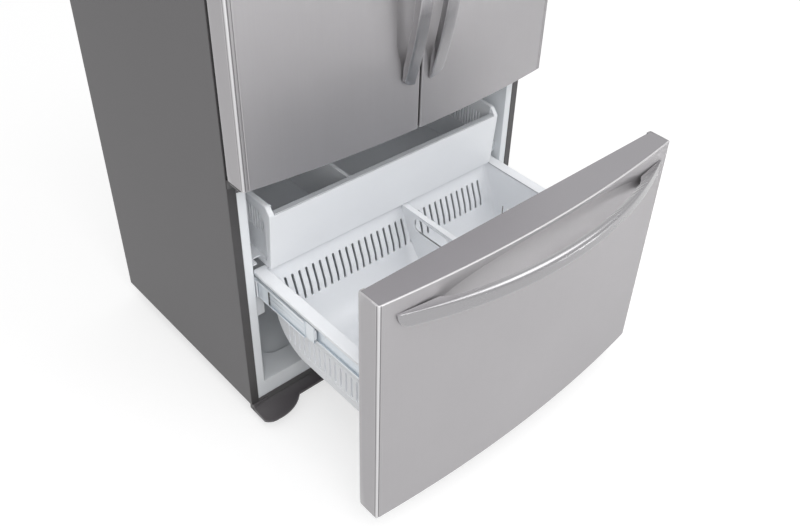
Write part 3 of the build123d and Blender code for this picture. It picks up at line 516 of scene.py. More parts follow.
def seams_and_groove_shade(name, back_y, low, high, grooves, sides, body):
    """Dark strips at the bottom of the grooves along the outer edges: partly the seal of a seam, partly
    painted shade that darkens the groove lines.
    """
    cols = corner_columns(back_y, (), ())
    corner_y, corner_x = cols[20][1], cols[26][0]      # where the side and the face start
    parts = []
    for s, width, depth in grooves:
        if depth < 0.5:           # a swelling, or too shallow for a strip
            continue
        w, top = width * 0.62, depth * 0.52
        for side in sides:
            if s < 0:
                x, y, nx, ny = -HALF, corner_y - s, -1.0, 0.0
            else:
                x = corner_x + s * ALONG
                y, nx, ny = face_y(back_y, x), cols[-1][2], cols[-1][3]
            tx, ty = -ny, nx
            outline = [(side * -(x + tx * a + nx * d), y + ty * a + ny * d)
                       for a, d in ((-w, -top), (w, -top), (w, -depth - 0.6), (-w, -depth - 0.6))]
            parts.append(bar(outline, along_z, low + FOLD + 1, high - FOLD - 1, 0.2))
    return piece(name, *joined(*parts), body, "dark_plastic", smooth=50)


# drawer front: one sheet with a straight hand scoop that dies out towards both sides
SCOOP_R, SCOOP_MID, SCOOP_DEPTH, SCOOP_LEAST = 108.0, 679.0, 15.0, 6.0
scoop_axis = face_y(DRAWER_BACK, 0) - SCOOP_R + SCOOP_DEPTH
left = corner_columns(DRAWER_BACK, SIDE_GROOVES, DRAWER_GROOVES)
first = left[-1][0]
count = 96
middle = [face_column(DRAWER_BACK, first - 2 * first * k / count) for k in range(1, count)]
columns = left + middle + mirrored(left)


def scoop_half(x):
    """Half the scoop's height at x, kept over 6 mm so that the rows stay apart."""
    reach = SCOOP_R ** 2 - (face_y(DRAWER_BACK, x) - scoop_axis) ** 2
    return max(math.sqrt(max(reach, 0.0)), SCOOP_LEAST)


bottom, top = fold_rows(DRAWER_LOW, DRAWER_HIGH)
spans = [("below", t / 6) for t in range(1, 6)]
spans += [("scoop", t / 20) for t in range(21)]
spans += [("above", t / 3) for t in range(1, 3)]
outer, inner = [], []
for row in bottom:
    outer.append([(*sheet_point(c, row[0], c[4] * row[4]), row[1]) for c in columns])
    inner.append([(*sheet_point(c, row[2], 0), row[3]) for c in columns])
for kind, t in spans:
    o_row, i_row = [], []
    for c in columns:
        h = scoop_half(c[0]) if c[5] else SCOOP_LEAST
        base, peak = DRAWER_LOW + FOLD, DRAWER_HIGH - FOLD
        if kind == "below":
            z = base + (SCOOP_MID - h - base) * t
        elif kind == "scoop":
            z = SCOOP_MID - h * math.cos(math.pi * t)
        else:
            z = SCOOP_MID + h + (peak - SCOOP_MID - h) * t
        x, y = sheet_point(c, 0, c[4])
        xi, yi = sheet_point(c, SHEET, 0)
        if c[5] and abs(z - SCOOP_MID) < SCOOP_R:
            hollow = scoop_axis + math.sqrt(SCOOP_R ** 2 - (z - SCOOP_MID) ** 2)
            y, yi = max(y, hollow), max(yi, hollow + SHEET)
        o_row.append((x, y, z))
        i_row.append((xi, yi, z))
    outer.append(o_row)
    inner.append(i_row)
for row in top:
    outer.append([(*sheet_point(c, row[0], c[4] * row[4]), row[1]) for c in columns])
    inner.append([(*sheet_point(c, row[2], 0), row[3]) for c in columns])


def painted_sheen_on_edges(edge_y, low, high):
    """Painted highlight on the beads of the outer corners and on the rounded folds at both ends."""
    def rub_and_sheen(x, y, z):
        bead = abs(x) > HALF - CORNER - 0.1 and y < edge_y + 0.6 * CORNER
        fold = min(z - low, high - z) < FOLD * 0.8 and y < edge_y + 20
        if fold:
            return 0.2
        return 0.42 if bead else 0.0
    return rub_and_sheen


# the sheet carries a painted highlight on its beads and folds
piece("drawer_sheet", *shell(outer, inner), "freezer_drawer", "stainless", ("drawer_skin",), smooth=28,
      rub_and_sheen=painted_sheen_on_edges(DRAWER_BACK - EDGE, DRAWER_LOW, DRAWER_HIGH))
caps("drawer_end_caps", columns, DRAWER_LOW, DRAWER_HIGH, "freezer_drawer", ("drawer_caps",))
# dark strips in the grooves: partly a seam, partly painted shade
seams_and_groove_shade("drawer_edge_seams_and_shade", DRAWER_BACK, DRAWER_LOW, DRAWER_HIGH, SIDE_GROOVES + DRAWER_GROOVES, (-1, 1),
      "freezer_drawer")

# doors: one sheet each, with an upright hand scoop beside the inner edge
DS_R, DS_DEPTH, DS_END = 62.0, 11.0, math.radians(8)
HANDLE_X, HANDLE_LOW, HANDLE_HIGH = 40.0, 880.0, 1625.0
DS_MID = (HANDLE_LOW + HANDLE_HIGH) / 2
DS_TALL = (HANDLE_HIGH - HANDLE_LOW) / 2 - 110
INNER = 3.0                       # inner side of a door from the middle of the appliance


def door_hollow(x, z):
    over = max(0.0, abs(z - DS_MID) - DS_TALL)
    axis = face_y(DOOR_BACK, HANDLE_X) - DS_R + DS_DEPTH - over * math.tan(DS_END)
    reach = DS_R ** 2 - (x + HANDLE_X) ** 2
    return axis + math.sqrt(max(reach, 0.0)) / (math.cos(DS_END) if over else 1.0)


def door_limits(z):
    """x of both sides of the scoop at a height."""
    over = max(0.0, abs(z - DS_MID) - DS_TALL)
    axis = face_y(DOOR_BACK, HANDLE_X) - DS_R + DS_DEPTH - over * math.tan(DS_END)
    out = []
    for side in (-1, 1):
        w = 20.0
        for _ in range(6):
            y = face_y(DOOR_BACK, -HANDLE_X + side * w)
            w = math.sqrt(max(16.0, DS_R ** 2 - (y - axis) ** 2))
        out.append(min(-HANDLE_X + side * w, -INNER - 3.0))
    return out


outer_cols = corner_columns(DOOR_BACK, SIDE_GROOVES, DOOR_GROOVES)
inner_cols = []
r = 4.6
for k in range(6):
    a = math.radians(270 + 90 * k / 5)
    inner_cols.append((-INNER - r + r * math.cos(a), face_y(DOOR_BACK, INNER) + r + r * math.sin(a),
                       math.cos(a), math.sin(a), 0, False))
inner_cols += [(-INNER, face_y(DOOR_BACK, INNER) + 6.0, 1, 0, 0, False)]
first = outer_cols[-1][0]


def door_row(z):
    lo, hi = door_limits(z)
    cols = list(outer_cols)
    for k in range(1, 32):
        cols.append(face_column(DOOR_BACK, first + (lo - first) * k / 32))
    for k in range(21):
        cols.append(face_column(DOOR_BACK, (lo + hi) / 2 - (hi - lo) / 2 * math.cos(math.pi * k / 20)))
    return cols + inner_cols


bottom, top = fold_rows(DOOR_LOW, DOOR_HIGH)
heights = [780, 820, 860, 890, 1630, 1660, 1700]
heights += [DS_MID - DS_TALL - 80 + 8 * k for k in range(12)]
heights += [DS_MID - DS_TALL + 35 * k for k in range(1, 15)]
heights += [DS_MID + DS_TALL - 8 + 8 * k for k in range(12)]
outer, inner = [], []
for row in bottom:
    cols = door_row(DOOR_LOW)
    outer.append([(*sheet_point(c, row[0], c[4] * row[4]), row[1]) for c in cols])
    inner.append([(*sheet_point(c, row[2], 0), row[3]) for c in cols])
for z in sorted(heights):
    o_row, i_row = [], []
    for c in door_row(z):
        x, y = sheet_point(c, 0, c[4])
        xi, yi = sheet_point(c, SHEET, 0)
        if c[5] and abs(x + HANDLE_X) < DS_R:
            hollow = door_hollow(x, z)
            y, yi = max(y, hollow), max(yi, hollow + SHEET)
        o_row.append((x, y, z))
        i_row.append((xi, yi, z))
    outer.append(o_row)
    inner.append(i_row)
for row in top:
    cols = door_row(DOOR_HIGH)
    outer.append([(*sheet_point(c, row[0], c[4] * row[4]), row[1]) for c in cols])
    inner.append([(*sheet_point(c, row[2], 0), row[3]) for c in cols])
verts, faces = shell(outer, inner)
cap_cols = outer_cols + [face_column(DOOR_BACK, first + (-12.0 - first) * k / 40) for k in range(1, 40)]
cap_cols += inner_cols + [(-INNER, DOOR_BACK - 6, 1, 0, 0, False),
                          (-INNER - 1.5, DOOR_BACK - 1.2, 0.7, 0.7, 0, False)]
for side, sign in (("left", 1), ("right", -1)):
    turned = [(sign * x, y, z) for x, y, z in verts]
    # each sheet carries a painted highlight on its beads and folds
    piece(f"{side}_door_sheet", turned, faces, f"{side}_door", "stainless", (f"{side}_door_skin",), smooth=28,
          rub_and_sheen=painted_sheen_on_edges(DOOR_BACK - EDGE, DOOR_LOW, DOOR_HIGH))
    own = cap_cols if sign > 0 else [(-x, y, -nx, ny, g, f) for x, y, nx, ny, g, f in cap_cols]
    caps(f"{side}_door_end_caps", own, DOOR_LOW, DOOR_HIGH, f"{side}_door", (f"{side}_door_caps",))
    # dark strips in the grooves: partly a seam, partly painted shade
    seams_and_groove_shade(f"{side}_door_seams_and_shade", DOOR_BACK, DOOR_LOW, DOOR_HIGH, SIDE_GROOVES + DOOR_GROOVES, (-sign,),
          f"{side}_door")
    # a black wall down the inner side of each door: painted shade, as the gap between the doors is deep
    # shadow
    wall = rect(-sign * (INNER + 0.5), -sign * (INNER + 1.7), face_y(DOOR_BACK, INNER) + 5.4,
                DOOR_BACK - 0.3, 0.5)
    piece(f"{side}_door_inner_shade", *bar(wall, along_z, DOOR_LOW + 1.5, DOOR_HIGH - 1.5, 0.2),
          f"{side}_door", "black_steel")

# ------------------------------------------------------------------ bowed handles


def handle(name, back_y, ends, span_mid, body, node, upright, close, crown):
    """A bowed bar whose ends rest on the face, each end cut to a curve from its long edge.

    Its length runs along x, or along z where upright. It stays near the face for close mm from each
    end, and crown is the rounding of its long edge at mid length."""
    thick, tall, slant, ease, blend, sweep = 16.0, 36.0, 18.0, 2.4, 26.0, math.radians(70)
    reach_u, reach_v = slant / (1 - math.cos(sweep)), tall / math.sin(sweep)
    long_side = -1 if upright else 1
    half_len = (ends[1] - ends[0]) / 2
    if upright:
        def face_at(u, v):
            return face_y(back_y, HANDLE_X + v)
        edge_y = face_y(back_y, HANDLE_X) - 5
        mid_y = face_y(back_y, HANDLE_X) - STAND
    else:
        def face_at(u, v):
            return face_y(back_y, u)
        edge_y = face_y(back_y, half_len) - 5
        mid_y = face_y(back_y, 0) - STAND

    def arc(u, length, y_end, y_mid):
        rise = y_end - y_mid
        radius = (length ** 2 + rise ** 2) / (2 * rise)
        return y_mid + radius - math.sqrt(radius ** 2 - u ** 2)

    stations = []
    for k in range(12):
        stations.append(-half_len + 0.2 + (slant - 0.2) * (1 - math.cos(math.pi / 2 * k / 11)))
    lead = stations[-1]
    stations += [lead + 4 * k for k in range(1, 6)]
    inner_end = stations[-1]
    stations += [inner_end + (-2 * inner_end) * k / 64 for k in range(1, 64)]
    stations += [-s for s in reversed(stations[:17])]
    rings = []
    for u in stations:
        d = half_len - abs(u)
        wide = tall
        if d < slant:
            wide = reach_v * math.sin(math.acos(1 - d / reach_u))
        h, mid_v = wide / 2, long_side * (tall - wide) / 2
        y0 = arc(u, half_len, edge_y, mid_y) + 0.02
        apart = min(1.0, max(0.0, (d - close) / blend))
        apart = apart * apart * (3 - 2 * apart)
        e = min(ease, d * 0.3 + 0.3, wide * 0.3)
        big = max(e, min(crown * (1 - (u / half_len) ** 2), d * 0.3))
        ring = []
        section = [(-h, None), (-h, y0 + e), (-h + e * 0.3, y0 + e * 0.3), (-h + e, y0), (-h * 0.5, y0),
                   (0, y0), (h * 0.25, y0)]
        section += [(h - big + big * math.sin(math.radians(t)), y0 + big - big * math.cos(math.radians(t)))
                    for t in (0, 15, 30, 45, 60, 75, 90)]
        for v, y in section + [(h, None), (0.0, None)]:
            v = long_side * v + mid_v
            if y is None:         # the rear, which leaves the face beyond close
                near = face_at(u, v) - 0.3 - 4.2 * min(1.0, d / max(close, 40.0))
                y = max(near + (min(y0 + thick, near) - near) * apart, y0 + big + 0.2)
            ring.append((u, v, y))
        rings.append(ring)
    placed = []
    for ring in rings:
        if upright:
            placed.append([(upright * (HANDLE_X + v), y, span_mid + u) for u, v, y in ring])
        else:
            placed.append([(u, y, span_mid + v) for u, v, y in ring])
    return piece(name, *loft(placed), body, "handle_steel", (node,), smooth=30)


BOW_HANDLE_HALF, BOW_HANDLE_Z = 416.0, 688.0
handle("drawer_bow_handle", DRAWER_BACK, (-BOW_HANDLE_HALF, BOW_HANDLE_HALF), BOW_HANDLE_Z, "freezer_drawer",
       "drawer_handle", 0, 92.0, 13.5)
for side, sign in (("left", -1), ("right", 1)):
    handle(f"{side}_bow_handle", DOOR_BACK, (HANDLE_LOW, HANDLE_HIGH), DS_MID, f"{side}_door",
           f"{side}_door_handle", sign, 24.0, 5.0)

# ------------------------------------------------------------------ seals swept round each front
SEAL_WIDE = 17.6
# the lobed section, as distance from the seal's inner edge and height over the front's back
SEAL = ((0.0, 0.4), (0.6, 0.2), (17.0, 0.2), (SEAL_WIDE, 0.5), (SEAL_WIDE, 2.0), (15.5, 2.6), (15.0, 3.2),
        (15.8, 4.0), (16.9, 5.2), (16.4, 6.9), (14.0, 7.6), (7.0, 7.6), (4.5, 6.9), (4.2, 5.4), (5.0, 4.2),
        (4.6, 3.4), (1.0, 2.6), (0.0, 1.8))


def seal(name, x0, x1, z0, z1, back_y, body, node):
    path = rect(x0, x1, z0, z1, 12.0, 5)
    rings = []
    for o, y in SEAL:
        rings.append([(u, back_y + y, v) for u, v in grown(path, o - SEAL_WIDE)])
    return piece(name, *loft(rings, wrap=True), body, "seal_grey", (node,), smooth=50)


for gasket, body, back_y in (("drawer_gasket", "freezer_drawer", DRAWER_BACK),
                             ("left_door_gasket", "left_door", DOOR_BACK),
                             ("right_door_gasket", "right_door", DOOR_BACK)):
    (x0, _, z0), (x1, _, z1) = ([c / MM for c in corner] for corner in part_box(gasket))
    seal(gasket.replace("gasket", "seal"), x0, x1, z0, z1, back_y, body, gasket)

# ------------------------------------------------------------------ freezer basket
MID = FRONT - OPEN                # the case front plane, carried out with the drawer
B_FRONT, B_BACK, B_LOW, B_RIM, B_FLOOR = MID - 7.7, 6.5, -131.5, 457.0, 250.0
B_HALF, R_HALF, WALL = 370.0, 398.0, 3.0


def arc_points(p, q, s, steps):
    """Points on the circle through three points of a plane, from p to s."""
    ax, ay, bx, by, cx, cy = *p, *q, *s
    d = 2 * (ax * (by - cy) + bx * (cy - ay) + cx * (ay - by))
    aa, bb, cc = ax * ax + ay * ay, bx * bx + by * by, cx * cx + cy * cy
    ux = (aa * (by - cy) + bb * (cy - ay) + cc * (ay - by)) / d
    uy = (aa * (cx - bx) + bb * (ax - cx) + cc * (bx - ax)) / d
    a0, a1, a2 = (math.atan2(y - uy, x - ux) for x, y in (p, q, s))
    full = (a2 - a0) % (2 * math.pi)
    if (a1 - a0) % (2 * math.pi) > full:
        full -= 2 * math.pi
    rad = math.hypot(ax - ux, ay - uy)
    return [(ux + rad * math.cos(a0 + full * k / steps), uy + rad * math.sin(a0 + full * k / steps))
            for k in range(steps + 1)]


def basket_profile(inset, top_z):
    rear, low_rear = B_BACK - inset, B_LOW - inset
    low, high = B_FLOOR + inset, B_RIM + inset
    lean = 37 / 101
    curve = arc_points((rear - 37, high - 101), (rear - 67, high - 169), (low_rear, low), 14)
    front = B_FRONT + inset
    lower = [(front + 12 - 12 * math.sin(math.radians(a)), low + 12 - 12 * math.cos(math.radians(a)))
             for a in (0, 22, 45, 68, 90)]
    return curve[:-1] + [(low_rear, low)] + lower + [(front, top_z), (rear + (top_z - high) * lean, top_z)]


def side_edge(half):
    """Picks the edges round the ends of a body along x, but not those of its open top."""
    def pick(cos):
        a, b = cos
        ends = abs(abs(a.x) - half) < 0.01 and abs(a.x - b.x) < 0.01
        return ends and not (a.z > B_RIM - 1 and b.z > B_RIM - 1) and not (
            abs(a.y - B_FRONT) < WALL + 0.1 and abs(b.y - B_FRONT) < WALL + 0.1)
    return pick


def prism_x(outline, x0, x1):
    return loft([[(x0, u, v) for u, v in outline], [(x1, u, v) for u, v in outline]])


shell_out = temp(*prism_x(basket_profile(0, B_RIM - 1.5), -B_HALF, B_HALF), side_edge(B_HALF), 16, 4)
shell_in = temp(*prism_x(basket_profile(WALL, B_RIM + 20), -B_HALF + WALL, B_HALF - WALL),
                side_edge(B_HALF - WALL), 13, 4)
slots = []
SIDE_PITCH, REAR_PITCH = 19.7, 20.4     # of the slots
for k in range(-8, 9):
    y = MID + 200 + SIDE_PITCH * k
    slots.append(bar(rect(y - 3, y + 3, 280, 344, 2.9, 3), along_x, -B_HALF - 6, B_HALF + 6, 0.1))
for k in range(-16, 17):
    x = REAR_PITCH * k
    slots.append(bar(rect(x - 3.5, x + 3.5, 336, 412, 3.4, 3), along_y, -72, 12, 0.1))
basket_mesh = carve(shell_out, shell_in, temp(*joined(*slots)))
ring_in = rect(-B_HALF + WALL, B_HALF - WALL, B_FRONT + WALL, B_BACK - WALL, 11, 5)
ring_out = rect(-R_HALF, R_HALF, B_FRONT + 0.3, B_BACK + 3, 7, 5)


def between(t, z, inset=0.0):
    """A ring of the rim, from the basket's mouth at 0 to the outer edge at 1."""
    outline = [(a[0] + (b[0] - a[0]) * t, a[1] + (b[1] - a[1]) * t) for a, b in zip(ring_in, ring_out)]
    return [(u, v, z) for u, v in grown(outline, -inset)]


rim = [between(0, B_RIM - 3.4), between(0, B_RIM - 0.9), between(0, B_RIM - 0.2, -0.7),
       between(0.08, B_RIM), between(0.9, B_RIM), between(1, B_RIM - 0.3, 1.0), between(1, B_RIM - 1.4),
       between(1, B_RIM - 8.6), between(1, B_RIM - 8.8, 2.0), between(1, B_RIM - 3.4, 2.4)]
add_mesh(basket_mesh, *loft(rim, wrap=True))
for side in (-1, 1):
    for z in (352.0, 272.0):
        add_mesh(basket_mesh, *bar(rect(B_FRONT + 8, -62 if z > 300 else -112, z - 1.2, z + 1.2, 1.1, 3),
                                   along_x, side * B_HALF - 0.9, side * B_HALF + 0.9, 0.3))
dress("basket_moulding", basket_mesh, "freezer_drawer", "white_plastic", ("basket",), smooth=32)

# sliding divider with its hand hole
D_X = 52.0                        # its middle plane
d_front, d_back = B_FRONT + WALL + 1.0, B_BACK - WALL - 4
plate = round_poly([(d_front, B_RIM - 2.5), (d_front, 310), (d_back - 76, 310), (d_back - 37, B_RIM - 90),
                    (d_back, B_RIM - 2.5)], [3, 18, 30, 10, 3], 5)
hand = rect(MID + 256, MID + 384, B_RIM - 58, B_RIM - 18, 15, 6)
divider_mesh = carve(temp(*bar(plate, along_x, D_X - 1.8, D_X + 1.8, 0.5)),
                     temp(*bar(hand, along_x, D_X - 9, D_X + 9, 0.1)))
add_mesh(divider_mesh, *loft([[(D_X + w, u, v) for u, v in grown(hand, o)] for o, w in (
    (0.0, -3.2), (0.6, -3.6), (3.0, -3.6), (3.6, -3.0), (3.6, 3.0), (3.0, 3.6), (0.6, 3.6), (0.0, 3.2))],
    wrap=True))
add_mesh(divider_mesh, *block(D_X - 8, D_X + 8, d_front, d_back, B_RIM - 4, B_RIM - 0.8, 0.9, 4))
for k in range(3):
    y = d_front + 30 + 95 * k
    add_mesh(divider_mesh, *bar(rect(y, y + 2.4, 322, B_RIM - 6, 1.1, 3), along_x, D_X - 3.4, D_X + 3.4, 0.4))
dress("basket_partition", divider_mesh, "divider", "white_plastic", ("basket_divider",), smooth=32)

# ------------------------------------------------------------------ slides: rolled members, balls and stops


def rolled(side, web_x, opens, z0, z1, y0, y1, depth=6.0, sheet=1.4, curl=2.2):
    """A C-shaped rolled channel along y, its mouth towards opens."""
    s = opens
    section = [(0, z0 + curl), (curl * 0.3, z0 + curl * 0.3), (curl, z0), (depth - 1, z0), (depth, z0 + 1),
               (depth, z0 + 4.2), (depth - sheet, z0 + 4.2), (depth - sheet, z0 + sheet), (curl, z0 + sheet),
               (sheet, z0 + curl + 0.6), (sheet, z1 - curl - 0.6), (curl, z1 - sheet),
               (depth - sheet, z1 - sheet), (depth - sheet, z1 - 4.2), (depth, z1 - 4.2), (depth, z1 - 1),
               (depth - 1, z1), (curl, z1), (curl * 0.3, z1 - curl * 0.3), (0, z1 - curl)]
    ends = []
    for y, inset in ((y0, 0.3), (y0 + 0.4, 0), (y1 - 0.4, 0), (y1, 0.3)):
        ends.append([(side * (web_x + s * min(max(u, inset), depth - inset)), y, v) for u, v in section])
    return loft(ends)


def dome(x, y, z, r, out, depth, sides=14):
    """A low round head on a face across x."""
    rings = []
    for rr, d in ((r, 0.0), (r, depth * 0.5), (r * 0.85, depth * 0.85), (r * 0.5, depth), (r * 0.2, depth)):
        rings.append([(x + out * d, y + rr * math.cos(2 * math.pi * k / sides),
                       z + rr * math.sin(2 * math.pi * k / sides)) for k in range(sides)])
    return loft(rings)


def ball(x, y, z, r, lat=6, lon=10):
    rings = []
    for i in range(1, lat):
        a = math.pi * i / lat
        rings.append([(x + r * math.sin(a) * math.cos(2 * math.pi * k / lon),
                       y + r * math.sin(a) * math.sin(2 * math.pi * k / lon), z + r * math.cos(a))
                      for k in range(lon)])
    return loft(rings)


S_LOW, S_HIGH, S_LENGTH = 388.0, 446.0, 452.0
OUTER_WEB, MIDDLE_WEB, INNER_WEB = 404.0, 397.5, 385.0    # from the middle of the appliance
PLATE = MIDDLE_WEB + 3.4          # outer side of the middle members' front plates, clear of the rivets
outer_parts, middle_parts, inner_parts, stop_parts, cage_parts, guards, bumpers = ([] for _ in range(7))
M_FRONT, M_BACK = FRONT + 6 - OPEN / 2, FRONT - 4 + S_LENGTH - OPEN / 2
for side in (-1, 1):
    outer_parts.append(rolled(side, OUTER_WEB, -1, S_LOW, S_HIGH, FRONT + 6, FRONT + 6 + S_LENGTH))
    for y in (14, 226, 412):      # pads against the liner, and the rivets through them
        outer_parts.append(bar(rect(FRONT + y, FRONT + y + 26, S_LOW + 14, S_HIGH - 14, 3), along_x,
                               *sorted((side * (OUTER_WEB - 0.5), side * (OUTER_WEB + 5.6))), 0.4))
        outer_parts.append(dome(side * (OUTER_WEB - 1.4), FRONT + y + 13, (S_LOW + S_HIGH) / 2, 4.6, -side,
                                1.6))
    middle_parts.append(rolled(side, MIDDLE_WEB, -1, S_LOW + 4, S_HIGH - 4, M_FRONT, M_BACK))
    middle_parts.append(rolled(side, MIDDLE_WEB + 0.1, 1, S_LOW + 3.2, S_HIGH - 3.2, M_FRONT + 30,
                               M_BACK - 26, depth=4.8, curl=1.2))
    for z in (S_LOW + 21, S_LOW + 35):
        rib = rect(side * (MIDDLE_WEB + 0.3), side * (MIDDLE_WEB + 1.8), z - 2.2, z + 2.2, 0.7)
        middle_parts.append(bar(rib, along_y, M_FRONT + 34, M_BACK - 30, 0.4))
    plate = rect(side * (PLATE - 0.7), side * PLATE, S_LOW + 5.4, S_HIGH - 5.4, 0.3)
    middle_parts.append(bar(plate, along_y, FRONT - 38, FRONT + 8, 0.3))
    bumper = rect(side * (MIDDLE_WEB + 0.4), side * PLATE, S_LOW + 7, S_HIGH - 7, 0.8)
    bumpers.append(bar(bumper, along_y, FRONT - 42, FRONT - 38.2, 0.5))
    guard = rect(side * (OUTER_WEB - 1.3), side * (OUTER_WEB + 1.4), S_LOW + 4, S_HIGH - 4, 1)
    guards.append(bar(guard, along_y, FRONT + 1, FRONT + 8, 0.5))
    inner_parts.append(rolled(side, INNER_WEB, 1, S_LOW + 8, B_RIM - WALL - 0.5, DRAWER_BACK + 0.5,
                              MID + S_LENGTH - 20))
    for y in (40, 200, 360):
        inner_parts.append(dome(side * (INNER_WEB + 1.4), DRAWER_BACK + y, 424, 4.2, side, 1.5))
    stop_parts.append(bar(rect(M_FRONT + 2, M_FRONT + 24, S_LOW + 10, S_HIGH - 10, 3), along_x,
                          *sorted((side * 391.0, side * 395.8)), 0.6))
    stop_parts.append(bar(rect(M_FRONT - 1.5, M_FRONT + 5, S_LOW + 16, S_HIGH - 16, 2), along_x,
                          *sorted((side * 389.8, side * 396.4)), 0.5))
    for k in range(11):
        y = M_FRONT + 34 + 13 * k
        for z in (S_LOW + 8.6, S_HIGH - 8.6):
            cage_parts.append(ball(side * 393.4, y, z, 2.1))
piece("slide_fixed_rails", *joined(*outer_parts), "cabinet", "slide_steel", ("slide_outer_members",))
piece("slide_middle_rails", *joined(*middle_parts, *cage_parts), "middle_rails", "slide_steel",
      ("slide_middle_members",))
piece("slide_stops", *joined(*stop_parts), "middle_rails", "white_plastic")
piece("slide_end_guards", *joined(*guards), "cabinet", "white_plastic")
piece("slide_bumpers", *joined(*bumpers), "middle_rails", "black_steel")
piece("slide_drawer_rails", *joined(*inner_parts), "freezer_drawer", "slide_steel", ("slide_inner_members",))

# ------------------------------------------------------------------ inner pull-out drawer
T_HALF, T_LOW, T_TOP, T_FRONT_TOP = 366.0, 461.0, 641.0, 620.0
T_Y, T_FOOT, T_END = FRONT - 17, FRONT - 5, FRONT + 440
T_IN, T_HOLLOW = T_HALF - 13, T_HALF - 10      # inner face of a side wall, and the bottom of its hollow
profile = round_poly([(T_FOOT, T_LOW), (T_END, T_LOW), (T_END, T_TOP), (T_Y + 17, T_TOP), (T_Y, T_FRONT_TOP)],
                     [4, 10, 3, 12, 9], 5)


def tub_edge(cos):
    a, b = cos
    return abs(abs(a.x) - T_HALF) < 0.01 and abs(a.x - b.x) < 0.01


tub = temp(*prism_x(profile, -T_HALF, T_HALF), tub_edge, 3.2, 3)
room = temp(*bar(rect(T_Y + 16, T_END - 3, -T_IN, T_IN, 7), lambda u, v, w: (v, u, w), T_LOW + 3, T_TOP + 6,
                 0.5))
notch = temp(*prism_x([(T_Y - 3, T_FRONT_TOP - 0.5), (T_Y + 17.2, T_FRONT_TOP - 0.5), (T_Y + 17.2, T_TOP + 5),
                       (T_Y - 3, T_TOP + 5)], -T_IN, T_IN))
cheeks = []
cheek = round_poly([(T_Y + 25, T_LOW + 16), (T_END - 22, T_LOW + 16), (T_END - 22, T_TOP - 24),
                    (T_Y + 48, T_TOP - 24), (T_Y + 25, T_TOP - 50)], [10, 10, 10, 14, 14], 5)
for side in (-1, 1):
    cheeks.append(bar(cheek, along_x, *sorted((side * T_HOLLOW, side * (T_HALF + 3))), 0.1))
slits = []
for k in range(38):
    y = T_Y + 44 + 10.2 * k
    low, high = (98, 34) if k else (84, 44)     # the first is short, under the sloping edge
    slit = rect(y, y + 4.6, T_TOP - low, T_TOP - high, 2.2, 3)
    for side in (-1, 1):
        slits.append(bar(slit, along_x, *sorted((side * (T_HALF - 17), side * (T_HALF + 3))), 0.1))
tub_mesh = carve(tub, room, notch, temp(*joined(*cheeks)), temp(*joined(*slits)))
add_mesh(tub_mesh, *block(-120, -116, T_Y + 15, T_END - 2, T_LOW + 2, T_FRONT_TOP - 14, 0.8))
add_mesh(tub_mesh, *block(-123, -113, T_Y + 15, T_END - 2, T_FRONT_TOP - 16, T_FRONT_TOP - 12.5, 0.9))
for side in (-1, 1):
    add_mesh(tub_mesh, *block(*sorted((side * (T_HALF - 2.5), side * 403.5)), FRONT + 40, T_END - 20,
                              473.3, 478.0, 0.6, 2))
dress("pull_out_tub", tub_mesh, "pull_out_drawer", "white_plastic", ("inner_drawer",), smooth=32)
trim = round_poly([(T_Y + 1.2, T_FRONT_TOP - 0.2), (T_Y + 16.4, T_FRONT_TOP - 0.2),
                   (T_Y + 16.4, T_FRONT_TOP + 3.4), (T_Y + 1.2, T_FRONT_TOP + 3.0)], [0.6, 0.6, 1.4, 1.6], 3)
piece("pull_out_trim", *bar(trim, along_x, -T_IN + 1, T_IN - 1, 0.5), "pull_out_drawer", "trim_grey",
      ("inner_drawer_trim",))

# ------------------------------------------------------------------ base cover with two lobes
C_EDGE, C_TOP, C_LOBE, C_REACH, LOBE = 451.0, 40.0, FRONT - 67, FRONT - 33, 330.0
half_line = [(-C_EDGE, FRONT - 0.3), (-C_EDGE, FRONT - 50)]
half_line += arc_points((-C_EDGE, FRONT - 50), (-C_EDGE + 12, FRONT - 62), (-C_EDGE + 34, C_LOBE), 8)[1:]
half_line += arc_points((-C_EDGE + 34, C_LOBE), (-C_EDGE + 92, FRONT - 56), (-LOBE, C_REACH), 16)[1:]
outline = half_line + [(-x, y) for x, y in reversed(half_line)]


def cover_top(y):
    """The top is level at the case and slopes down in front of it."""
    return C_TOP + min(0.0, y - (FRONT - 4)) * 12 / 86


rings = []
for inset, z in ((2.2, 26.0), (0.5, 26.4), (0, 27.2)):
    rings.append([(u, v, z) for u, v in grown(outline, -inset)])
for inset, drop in ((0, 1.4), (0.4, 0.4), (1.6, 0.0)):
    rings.append([(u, v, max(27.6, cover_top(v) - drop)) for u, v in grown(outline, -inset)])
cheeks = []
for side in (-1, 1):
    cheeks.append(bar(rect(side * 433, side * C_EDGE, FRONT - 6, FRONT + 14, 2), along_z, 27.5, 49.7, 0.8))
    cheeks.append(bar(rect(side * 405, side * 434, FRONT - 3, FRONT - 0.4, 1), along_z, 30, 49.0, 0.5))
piece("base_cover_moulding", *joined(loft(rings), *cheeks), "cabinet", "dark_plastic", ("base_cover",),
      smooth=40)

# covers over the lower hinge plates of the doors, in the gap above the drawer
for side, sign in (("left", -1), ("right", 1)):
    front, back = DOOR_BACK - 44, DOOR_BACK - 4
    cover = round_poly([(sign * 451, front), (sign * 451, back), (sign * 412, back), (sign * 426, front)],
                       [7, 2, 2, 10], 5)
    piece(f"{side}_hinge_cover_low", *bar(cover, along_z, 746.0, 754.4, 1.2), f"{side}_door", "zinc_steel")

# dark strips on the front returns of the side panels: painted shade, as the returns are in the sides' own
# paint
parts = [bar(rect(side * 433.2, side * 453.2, FRONT - 0.8, FRONT - 0.1, 0.3), along_z, 51, 1736, 0.3)
         for side in (-1, 1)]
piece("case_front_shade_strips", *joined(*parts), "cabinet", "dark_steel")

